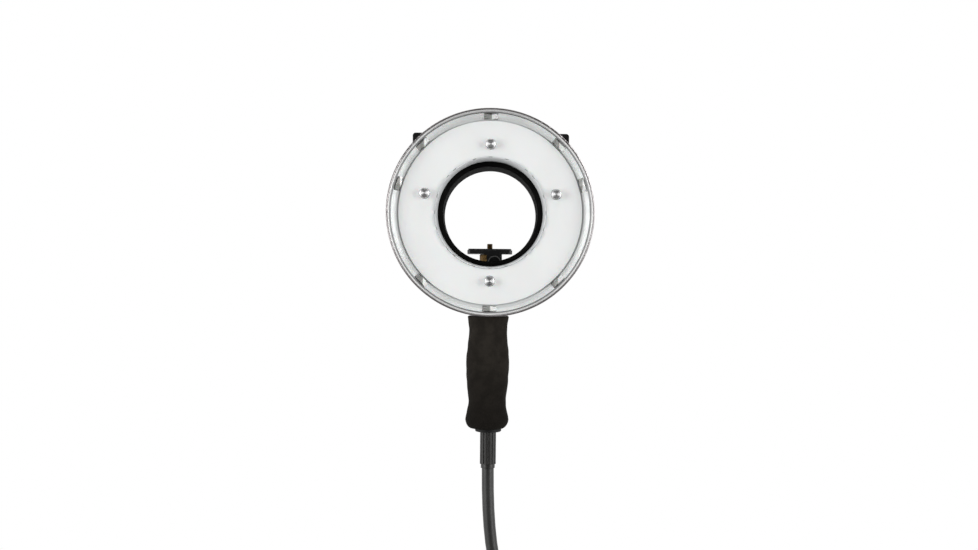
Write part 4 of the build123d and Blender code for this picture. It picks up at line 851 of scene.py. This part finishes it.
class Finish:
    """A material under construction, with its shader and its object coordinates.

    It starts with two tones that mix in patches, and a roughness that wanders from a smooth value
    to a rough one in patches of its own.
    """

    def __init__(self, name, tones, patch, gloss, gloss_patch=20 * MM):
        self.material = bpy.data.materials.new(name)
        self.material.use_nodes = True
        self.tree = self.material.node_tree
        self.tree.nodes.clear()
        self.shader = add_node(self.tree, "BsdfPrincipled")
        add_node(self.tree, "OutputMaterial", Surface=self.shader.outputs["BSDF"])
        self.place = add_node(self.tree, "TexCoord").outputs["Object"]
        first, second = ((*tone, 1.0) for tone in tones)
        smooth, rough = gloss
        self.set(
            Base_Color=self.effect(uneven_tone, Color=first, Second_Color=second, Patch_Size=patch),
            Roughness=self.effect(handled_gloss, Smooth=smooth, Rough=rough, Patch_Size=gloss_patch),
        )

    def set(self, **values):
        """Gives the shader's named inputs plain values or links."""
        for label, value in values.items():
            feed(self.tree, value, self.shader.inputs[label.replace("_", " ")])

    def effect(self, group, **values):
        """Places a shared effect, reading the object coordinates if not given others, and returns its
        output."""
        values = {"Vector": self.place, **values}
        return add_node(self.tree, "Group", {"node_tree": group()}, **values).outputs[0]

    def relief(self, height, depth, edge=0.0):
        """A bump of a height, over edges that look rounded by a radius."""
        bump = add_node(self.tree, "Bump", Height=height, Distance=depth)
        if edge:
            rounded = add_node(self.tree, "Bevel", Radius=edge).outputs["Normal"]
            feed(self.tree, rounded, bump.inputs["Normal"])
        self.set(Normal=bump.outputs["Normal"])

    def tooth(self, scale, detail, depth, edge=0.0):
        """A relief of plain noise."""
        self.relief(noise(self.tree, self.place, scale, detail), depth, edge)

    def grain(self, size, depth, edge):
        """A relief of moulded grain."""
        self.relief(self.effect(moulded_grain, Grain_Size=size), depth, edge)

    def lines(self, pitch, centre, axis="Y", edge=0.0):
        """A relief of turned lines round an axis through a centre."""
        x, y, z = centre
        moved = {"Location": (-x, -y, -z)}
        if axis == "Z":
            moved = {"Location": (-x, z, -y), "Rotation": (math.pi / 2, 0.0, 0.0)}
        vector = add_node(self.tree, "Mapping", Vector=self.place, **moved).outputs["Vector"]
        self.relief(self.effect(turned_lines, Vector=vector, Pitch=pitch), 0.01 * MM, edge)

    def over(self, mask, colour):
        """Lays a colour over the base colour by a mask."""
        below = self.shader.inputs["Base Color"].links[0].from_socket
        self.set(Base_Color=blend_colours(self.tree, mask, below, (*colour, 1.0)))

    def dust(self, amount):
        """Lays dust on faces that look up."""
        self.over(self.effect(settled_dust, Amount=amount), DUST)

    def wear(self, amount):
        """Wears the edges to bare steel."""
        self.over(self.effect(worn_edges, Amount=amount), STEEL_EDGE)


def moulded_plastic(name, colour, smooth, rough, dust=0.12):
    """Moulded plastic: a pebbled surface, soft edges and a little dust."""
    finish = Finish(name, (colour, scaled(colour, 1.5)), patch=30 * MM, gloss=(smooth, rough))
    finish.grain(size=0.7 * MM, depth=0.03 * MM, edge=0.5 * MM)
    finish.dust(dust)
    finish.set(Specular_IOR_Level=0.25)
    return finish.material


def painted_metal(name, colour, smooth=0.35, rough=0.55, wear=0.35):
    """Paint over metal, worn to the metal along its edges."""
    finish = Finish(name, (colour, scaled(colour, 1.6)), patch=25 * MM, gloss=(smooth, rough))
    finish.grain(size=0.9 * MM, depth=0.04 * MM, edge=0.4 * MM)
    finish.dust(0.12)
    finish.wear(wear)
    return finish.material


def bare_metal(name, colour, centre=ANYWHERE, axis="Z", smooth=0.2, rough=0.36):
    """Turned or drawn metal, with fine lines round an axis through a centre."""
    tones = (colour, scaled(colour, 0.85))
    finish = Finish(name, tones, patch=12 * MM, gloss=(smooth, rough), gloss_patch=8 * MM)
    finish.lines(pitch=0.35 * MM, centre=centre, axis=axis, edge=0.3 * MM)
    finish.set(Metallic=1.0)
    return finish.material


def unglazed(name, colour):
    """Unglazed ceramic or moulded white: dull, with a fine tooth."""
    tones = (colour, scaled(colour, 0.86))
    finish = Finish(name, tones, patch=6 * MM, gloss=(0.55, 0.75), gloss_patch=6 * MM)
    finish.tooth(scale=1800.0, detail=4.0, depth=0.03 * MM, edge=0.3 * MM)
    return finish.material


def soft_rubber(name, colour, smooth=0.42, rough=0.62):
    """Rubber: dull, faintly mottled, with a fine skin."""
    tones = (colour, scaled(colour, 1.5))
    finish = Finish(name, tones, patch=14 * MM, gloss=(smooth, rough), gloss_patch=12 * MM)
    finish.tooth(scale=1300.0, detail=3.0, depth=0.03 * MM, edge=0.3 * MM)
    finish.dust(0.10)
    return finish.material


def rim_black():
    """The front bead: blackened metal that mirrors what stands beside it, with painted light on its
    inner edge, pale and dull there.
    """
    tones = ((0.33, 0.31, 0.31), (0.40, 0.38, 0.38))
    finish = Finish("rim_black_metal", tones, patch=30 * MM, gloss=(0.24, 0.36))
    finish.tooth(scale=90.0, detail=2.0, depth=0.03 * MM)
    length, _ = from_middle(finish.tree, finish.place)
    inside = box_half("rim_trim").x
    # Painted light: the bead's inner edge, in the shaded channel by the trim, is laid pale and dull.
    painted_light_inside = ramp_between(finish.tree, length, inside - 0.4 * MM, inside - 1.2 * MM)
    finish.over(painted_light_inside, grey(0.44))
    finish.set(Metallic=maths(finish.tree, "SUBTRACT", 1.0, painted_light_inside))
    return finish.material


def pan_metal(head):
    """The polished pan: bright sheet with fine spun lines and cloudy patches. Its heel, which starts a
    little outside the frosted ring, is dull and pale: painted light in the shaded groove there."""
    tones = (head.pan, scaled(head.pan, 0.90))
    finish = Finish("polished_pan", tones, patch=18 * MM, gloss=(0.24, 0.36), gloss_patch=12 * MM)
    finish.lines(pitch=0.9 * MM, centre=PORT_CENTRE)
    length, _ = from_middle(finish.tree, finish.place)
    ring_edge = box_half("diffuser").x
    polished = ramp_between(finish.tree, length, ring_edge + 1.8 * MM, ring_edge + 3.8 * MM)
    finish.set(Metallic=polished)
    # Painted light: the heel is dull and pale, to lift the shade in the groove beside the frosted ring.
    finish.over(maths(finish.tree, "SUBTRACT", 1.0, polished), (0.72, 0.735, 0.73))
    return finish.material


def diffuser_opal(head):
    """The frosted ring: cool white sheet with a very fine tooth and hardly any tone."""
    tones = (head.opal, scaled(head.opal, 0.965))
    finish = Finish("frosted_ring", tones, patch=50 * MM, gloss=(0.34, 0.46), gloss_patch=40 * MM)
    finish.tooth(scale=2600.0, detail=2.0, depth=0.02 * MM, edge=0.5 * MM)
    finish.set(Subsurface_Weight=0.12, Subsurface_Scale=4 * MM)
    return finish.material


def collar_pale():
    """The pale wall round the port."""
    tones = ((0.74, 0.755, 0.76), (0.62, 0.635, 0.64))
    finish = Finish("pale_collar", tones, patch=20 * MM, gloss=(0.30, 0.48), gloss_patch=10 * MM)
    finish.tooth(scale=700.0, detail=3.0, depth=0.02 * MM, edge=0.3 * MM)
    return finish.material


def bright_steel():
    """Studs, washers and clamps: bright steel, lightly brushed and a little stained."""
    tones = (grey(0.68), (0.46, 0.46, 0.47))
    finish = Finish("bright_steel", tones, patch=4 * MM, gloss=(0.16, 0.34), gloss_patch=3 * MM)
    finish.tooth(scale=3200.0, detail=3.0, depth=0.01 * MM, edge=0.2 * MM)
    finish.set(Metallic=1.0)
    return finish.material


def clip_steel():
    """The spring clips: strip steel, with painted shade on the left leaf and a painted highlight on the
    right.
    """
    tones = ((0.30, 0.30, 0.29), (0.38, 0.38, 0.36))
    finish = Finish("clip_steel", tones, patch=4 * MM, gloss=(0.14, 0.24), gloss_patch=4 * MM)
    circle = box_half("rim_clips").z - CLIP_HALF_LENGTH
    right = axes(finish.tree, from_nearest(finish.tree, finish.place, circle, CLIP_ANGLES))["X"]
    # Painted highlight on each clip's right leaf; the darker left leaf is painted shade.
    finish.over(ramp_between(finish.tree, right, 0.2 * MM, 1.4 * MM), (0.95, 0.95, 0.94))
    finish.set(Metallic=1.0)
    return finish.material


def bright_trim():
    """The narrow ring in the rim's channel: polished, with long faint smears round it."""
    tones = ((0.90, 0.90, 0.89), grey(0.80))
    finish = Finish("bright_trim", tones, patch=30 * MM, gloss=(0.16, 0.28), gloss_patch=40 * MM)
    finish.tooth(scale=60.0, detail=2.0, depth=0.04 * MM, edge=0.3 * MM)
    finish.set(Metallic=0.45)
    return finish.material


def turned_steel():
    """The domed nuts: steel turned round each nut's own middle.

    The tangent points away from the middle of the nearest nut, and the gloss is wide along it and
    narrow across it, as fine rings make it.
    """
    tones = (grey(0.92), (0.74, 0.74, 0.75))
    finish = Finish("turned_steel", tones, patch=4 * MM, gloss=(0.44, 0.54), gloss_patch=3 * MM)
    finish.tooth(scale=3200.0, detail=3.0, depth=0.01 * MM, edge=0.2 * MM)
    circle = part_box("dome_nuts")[1].z - PORT_CENTRE.z - NUT_RADIUS
    outward = from_nearest(finish.tree, finish.place, circle, NUT_ANGLES)
    finish.set(Metallic=1.0, Anisotropic=0.85, Tangent=outward)
    return finish.material


def tube_black():
    """The lens tube: dead flat black that keeps stray light down, worn at its edges."""
    tones = ((0.0035, 0.0035, 0.0034), (0.0070, 0.0068, 0.0064))
    finish = Finish("tube_matt_black", tones, patch=20 * MM, gloss=(0.70, 0.90), gloss_patch=10 * MM)
    finish.grain(size=0.8 * MM, depth=0.04 * MM, edge=0.3 * MM)
    finish.wear(0.15)
    finish.set(Specular_IOR_Level=0.03)
    return finish.material


def clear_tube():
    """The flash tubes: clear glass, faintly clouded."""
    tones = ((0.93, 0.95, 0.96), (0.86, 0.89, 0.91))
    finish = Finish("clear_tube", tones, patch=20 * MM, gloss=(0.02, 0.10))
    finish.set(Transmission_Weight=0.9, IOR=1.46)
    return finish.material


def fibre_board():
    """The insulating plate: glass-fibre board with its woven figure."""
    tones = ((0.35, 0.33, 0.20), (0.24, 0.23, 0.13))
    finish = Finish("fibre_board", tones, patch=12 * MM, gloss=(0.35, 0.5))
    figure = add_node(finish.tree, "TexChecker", Vector=finish.place, Scale=900.0)
    finish.relief(figure.outputs["Fac"], 0.03 * MM)
    return finish.material


def grip_foam(grip):
    """Soft foam: dull, finely pored, with painted shade in each pore and painted shade deepening
    downwards.
    """
    tones = (grip.colour, scaled(grip.colour, 1.55))
    finish = Finish("grip_foam", tones, patch=9 * MM, gloss=(0.72, 0.92), gloss_patch=10 * MM)
    tree = finish.tree
    cells = add_node(tree, "TexVoronoi", Vector=finish.place, Scale=1500.0)
    skin = ramp_between(tree, cells.outputs["Distance"], 0.05, 0.45)
    # Painted shade in the pores: the foam is laid darker in the hollows of its cells.
    painted_pore_shade = maths(tree, "MULTIPLY", maths(tree, "SUBTRACT", 1.0, skin), 0.6)
    finish.over(painted_pore_shade, scaled(grip.colour, 0.6))
    dents = noise(tree, finish.place, 420.0, detail=4.0)
    finish.relief(maths(tree, "MULTIPLY_ADD", dents, 0.8, skin), 0.16 * MM)
    finish.dust(0.06)
    # Painted shade: the foam is laid darker towards the grip's lower end.
    painted_shade_below = ramp_between(tree, axes(tree, finish.place)["Z"], GRIP_HIGH.z, GRIP_LOW.z)
    finish.over(maths(tree, "MULTIPLY", painted_shade_below, 0.75), scaled(grip.colour, 0.35))
    finish.set(Specular_IOR_Level=0.05)
    return finish.material


def cable_rubber(cable):
    """The cable's sheath: smooth rubber, faintly uneven from its making."""
    tones = (cable.colour, scaled(cable.colour, 1.6))
    finish = Finish("cable_rubber", tones, patch=30 * MM, gloss=(0.34, 0.52))
    finish.tooth(scale=380.0, detail=3.0, depth=0.06 * MM)
    finish.dust(0.16)
    return finish.material


def strap_fabric(strap):
    """Woven strap: threads that go over and under each other, along the piece's own map."""
    tones = (strap.colour, scaled(strap.colour, 1.9))
    finish = Finish("strap_fabric", tones, patch=10 * MM, gloss=(0.75, 0.95), gloss_patch=5 * MM)
    tree = finish.tree
    threads_along, threads_across = 190.0, 46.0
    own_map = add_node(tree, "UVMap").outputs["UV"]
    mapping = add_node(tree, "Mapping", Vector=own_map, Scale=(threads_along, threads_across, 1.0))
    threads = mapping.outputs["Vector"]
    weave = add_node(tree, "TexChecker", Vector=threads, Scale=1.0).outputs["Fac"]
    ribs = add_node(tree, "TexWave", {"bands_direction": "Y"}, Vector=threads, Scale=1.0).outputs["Fac"]
    height = maths(tree, "ADD", maths(tree, "MULTIPLY", weave, 0.5), ribs)
    finish.relief(height, 0.2 * MM)
    # Painted light and shade: the raised threads are laid paler, the hollows between them keep the dark
    # colour.
    finish.over(maths(tree, "MULTIPLY", height, 0.35), scaled(strap.colour, 3.0))
    finish.set(Sheen_Weight=0.3, Sheen_Roughness=0.5)
    return finish.material


def screw_brass(screw):
    """Brass, handled dull on its knurling and brown in patches, both tones darkened as painted shade."""
    tones = (screw.colour, (0.055, 0.033, 0.013))
    finish = Finish("screw_brass", tones, patch=5 * MM, gloss=(0.24, 0.42), gloss_patch=3 * MM)
    finish.tooth(scale=2400.0, detail=3.0, depth=0.02 * MM, edge=0.2 * MM)
    finish.set(Metallic=1.0)
    return finish.material


def ribbed_rubber():
    """The platform's pad: rubber with fine ribs across it."""
    finish = Finish("pad_rubber", (grey(0.026), (0.040, 0.039, 0.038)), patch=10 * MM, gloss=(0.6, 0.8))
    ribs = add_node(finish.tree, "TexWave", {"bands_direction": "Y"}, Vector=finish.place, Scale=105.0)
    finish.relief(ribs.outputs["Fac"], 0.3 * MM)
    finish.dust(0.2)
    return finish.material


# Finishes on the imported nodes


def dress(material, *nodes):
    """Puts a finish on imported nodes, in place of what they came with."""
    for name in nodes:
        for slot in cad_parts[name].material_slots:
            slot.material = material


class RINGFLASH_OT_head_finishes(bpy.types.Operator):
    """Finish the round head, its frosted ring, its port and what lies behind them"""

    bl_idname = "ringflash.head_finishes"
    bl_label = "Head Finishes"

    def execute(self, context):
        head = context.scene.ring_flash.head
        dress(rim_black(), "front_rim")
        dress(painted_metal("shell_paint", head.black), "front_casing")
        dress(pan_metal(head), "reflector_pan")
        dress(diffuser_opal(head), "diffuser")
        dress(collar_pale(), "inner_collar")
        dress(bright_steel(), "diffuser_studs", "stud_washers", "tube_clamps")
        dress(clip_steel(), "rim_clips")
        dress(bright_trim(), "rim_trim")
        dress(turned_steel(), "dome_nuts")
        dress(bare_metal("trigger_wire", grey(0.6), PORT_CENTRE, axis="Y"), "trigger_wire")
        dress(tube_black(), "lens_tube")
        dress(clear_tube(), "flash_tube_left", "flash_tube_right")
        dress(unglazed("ceramic", (0.82, 0.80, 0.75)), "tube_sockets", "insulator_spacers")
        dress(fibre_board(), "insulator_plate")
        return {"FINISHED"}


class RINGFLASH_OT_housing_finishes(bpy.types.Operator):
    """Finish the rear housing, its fan, its screws and the parts inside it"""

    bl_idname = "ringflash.housing_finishes"
    bl_label = "Housing Finishes"

    def execute(self, context):
        shell = moulded_plastic("housing_plastic", grey(0.006), 0.38, 0.55, dust=0.05)
        dress(shell, "rear_housing", "rear_cover")
        dress(moulded_plastic("fan_plastic", grey(0.014), 0.3, 0.42), "fan_frame", "fan_rotor")
        screws = painted_metal("blackened_screws", (0.022, 0.022, 0.023), 0.28, 0.4, wear=0.6)
        dress(screws, "cover_screws", "casing_screws", "handle_bolts", "rail_screws", "column_screws")
        dress(moulded_plastic("potted_brown", (0.11, 0.055, 0.028), 0.3, 0.5), "trigger_transformer")
        dress(unglazed("block_white", (0.74, 0.73, 0.69)), "terminal_block")
        dress(soft_rubber("loom_sleeve", grey(0.06)), "wiring_loom")
        return {"FINISHED"}


class RINGFLASH_OT_handle_finishes(bpy.types.Operator):
    """Finish the handle's hard parts, its strain relief and the plug"""

    bl_idname = "ringflash.handle_finishes"
    bl_label = "Handle and Plug Finishes"

    def execute(self, context):
        plug = box_middle("plug_body")
        dress(painted_metal("saddle_paint", (0.018, 0.018, 0.019)), "handle_saddle")
        dress(bare_metal("core_metal", (0.55, 0.55, 0.56), GRIP_MIDDLE), "handle_core")
        cap = moulded_plastic("cap_plastic", grey(0.005), 0.5, 0.7, dust=0.03)
        dress(cap, "handle_end_cap", "cable_gland")
        dress(soft_rubber("relief_rubber", (0.010, 0.0092, 0.0084), 0.30, 0.45), "strain_relief")
        dress(moulded_plastic("plug_plastic", grey(0.018), 0.35, 0.55), "plug_nut", "plug_body")
        collar = bare_metal("collar_metal", (0.45, 0.45, 0.46), plug, smooth=0.26, rough=0.42)
        dress(collar, "plug_collar")
        dress(bare_metal("pin_brass", (0.78, 0.60, 0.29), plug), "plug_pins")
        return {"FINISHED"}


class RINGFLASH_OT_bracket_finishes(bpy.types.Operator):
    """Finish the arm, the carriage, the platform and their knobs"""

    bl_idname = "ringflash.bracket_finishes"
    bl_label = "Bracket Finishes"

    def execute(self, context):
        paint = painted_metal("arm_paint", (0.018, 0.018, 0.019), 0.32, 0.5, wear=0.45)
        dress(paint, "rail_foot", "rail", "carriage_block", "carriage_column", "camera_platform")
        dress(moulded_plastic("knob_plastic", grey(0.015), 0.3, 0.46), "carriage_knob", "height_knob")
        dress(ribbed_rubber(), "platform_pad")
        dress(bare_metal("stand_steel", grey(0.50), smooth=0.22, rough=0.4), "stand_socket")
        return {"FINISHED"}


# The stage


def area_lamp(name, place, size, watts):
    """A soft lamp that faces the port. Its place is in metres, its height from the port's level."""
    data = bpy.data.lights.new(name, "AREA")
    data.shape = "RECTANGLE"
    data.size, data.size_y = size
    data.energy = watts
    lamp = bpy.data.objects.new(name, data)
    across, along, rise = place
    lamp.location = (across, along, PORT_CENTRE.z + rise)
    lamp.rotation_euler = (PORT_CENTRE - lamp.location).to_track_quat("-Z", "Y").to_euler()
    bpy.context.scene.collection.objects.link(lamp)


def white_world(level, front_level):
    """An even light of a level. The camera and glass see it as white. Metal sees it as white too behind
    the object and beside it, and at a darker level in front of it, above it and below it."""
    world = bpy.data.worlds.new("even_light")
    world.use_nodes = True
    tree = world.node_tree
    path = add_node(tree, "LightPath").outputs
    way = axes(tree, add_node(tree, "TexCoord").outputs["Generated"])
    behind = ramp_between(tree, way["Y"], -0.20, 0.15)
    beside = ramp_between(tree, maths(tree, "ABSOLUTE", way["X"]), 0.40, 0.75)
    around = maths(tree, "MAXIMUM", behind, beside)
    mirrored = maths(tree, "MULTIPLY_ADD", around, 1.0 - front_level, front_level - level)
    lit = maths(tree, "MULTIPLY_ADD", path["Is Glossy Ray"], mirrored, level)
    seen = maths(tree, "MAXIMUM", path["Is Camera Ray"], path["Is Transmission Ray"])
    background = tree.nodes["Background"].inputs
    feed(tree, WHITE, background["Color"])
    feed(tree, maths(tree, "MAXIMUM", lit, seen), background["Strength"])
    bpy.context.scene.world = world


def floor_finish(radius):
    """The floor: pale and plain, fading out towards its edge."""
    tones = (grey(0.86), grey(0.84))
    finish = Finish("pale_floor", tones, patch=500 * MM, gloss=(0.8, 0.9), gloss_patch=300 * MM)
    length = vector_maths(finish.tree, "LENGTH", finish.place)["Value"]
    finish.set(Alpha=ramp_between(finish.tree, length, radius, 0.6 * radius))
    return finish.material


class RINGFLASH_OT_stage(bpy.types.Operator):
    """Add the camera, the soft lamps, the even light and the pale floor"""

    bl_idname = "ringflash.stage"
    bl_label = "Stage"

    def execute(self, context):
        stage = context.scene.ring_flash.stage
        data = bpy.data.cameras.new("camera")
        data.lens = stage.focal_length
        data.clip_end = 50.0
        camera = bpy.data.objects.new("camera", data)
        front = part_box("front_rim")[0].y
        camera.location = (stage.camera_across, front - stage.camera_distance, stage.camera_height)
        camera.rotation_euler = (math.pi / 2, stage.roll, 0.0)
        context.scene.collection.objects.link(camera)
        context.scene.camera = camera

        area_lamp("left_lamp", (-1.25, -0.85, 0.1), (0.7, 1.1), stage.left_power)
        area_lamp("right_lamp", (1.25, -0.85, 0.1), (0.7, 1.1), stage.right_power)
        area_lamp("top_lamp", (0.0, -0.6, 1.5), (1.0, 0.8), stage.top_power)
        white_world(stage.world_level, stage.front_level)

        rings, corners = 9, 96
        radii = np.broadcast_to(np.linspace(0.0, stage.floor_radius, rings)[:, None], (rings, corners))
        angles = np.linspace(0, 2 * np.pi, corners, endpoint=False)
        height = np.full(radii.shape, CAD_BOX[0].z - stage.floor_drop)
        points = np.stack([radii * np.cos(angles), radii * np.sin(angles), height], axis=-1)
        floor = add_surface("floor", points, wrap_columns=True)
        floor.data.materials.append(floor_finish(stage.floor_radius))
        floor.visible_glossy = False
        context.scene.view_settings.view_transform = "Standard"
        return {"FINISHED"}


class RINGFLASH_PT_sidebar(bpy.types.Panel):
    """The sizes and colours, and the operators in the order that main runs them"""

    bl_label = "Ring Flash"
    bl_idname = "RINGFLASH_PT_sidebar"
    bl_space_type = "VIEW_3D"
    bl_region_type = "UI"
    bl_category = "Ring Flash"

    def draw(self, context):
        layout = self.layout
        settings = context.scene.ring_flash
        for group in (getattr(settings, name) for name in RingFlashSettings.__annotations__):
            box = layout.box()
            for name in group.__annotations__:
                box.prop(group, name)
        for operator in OPERATORS:
            layout.operator(operator.bl_idname)


OPERATORS = (
    RINGFLASH_OT_stage,
    RINGFLASH_OT_coil_straps,
    RINGFLASH_OT_lamp_cable,
    RINGFLASH_OT_foam_grip,
    RINGFLASH_OT_brass_screw,
    RINGFLASH_OT_head_finishes,
    RINGFLASH_OT_housing_finishes,
    RINGFLASH_OT_handle_finishes,
    RINGFLASH_OT_bracket_finishes,
)
SETTINGS = (
    CableSettings,
    StrapSettings,
    GripSettings,
    ScrewSettings,
    HeadSettings,
    StageSettings,
    RingFlashSettings,
)
CLASSES = (*SETTINGS, *OPERATORS, RINGFLASH_PT_sidebar)


def register():
    for entry in CLASSES:
        bpy.utils.register_class(entry)
    bpy.types.Scene.ring_flash = PointerProperty(type=RingFlashSettings)


def unregister():
    del bpy.types.Scene.ring_flash
    for entry in reversed(CLASSES):
        bpy.utils.unregister_class(entry)


def main():
    """Makes everything in order."""
    register()
    for operator in OPERATORS:
        group, name = operator.bl_idname.split(".")
        getattr(getattr(bpy.ops, group), name)()


if __name__ == "__main__":
    main()
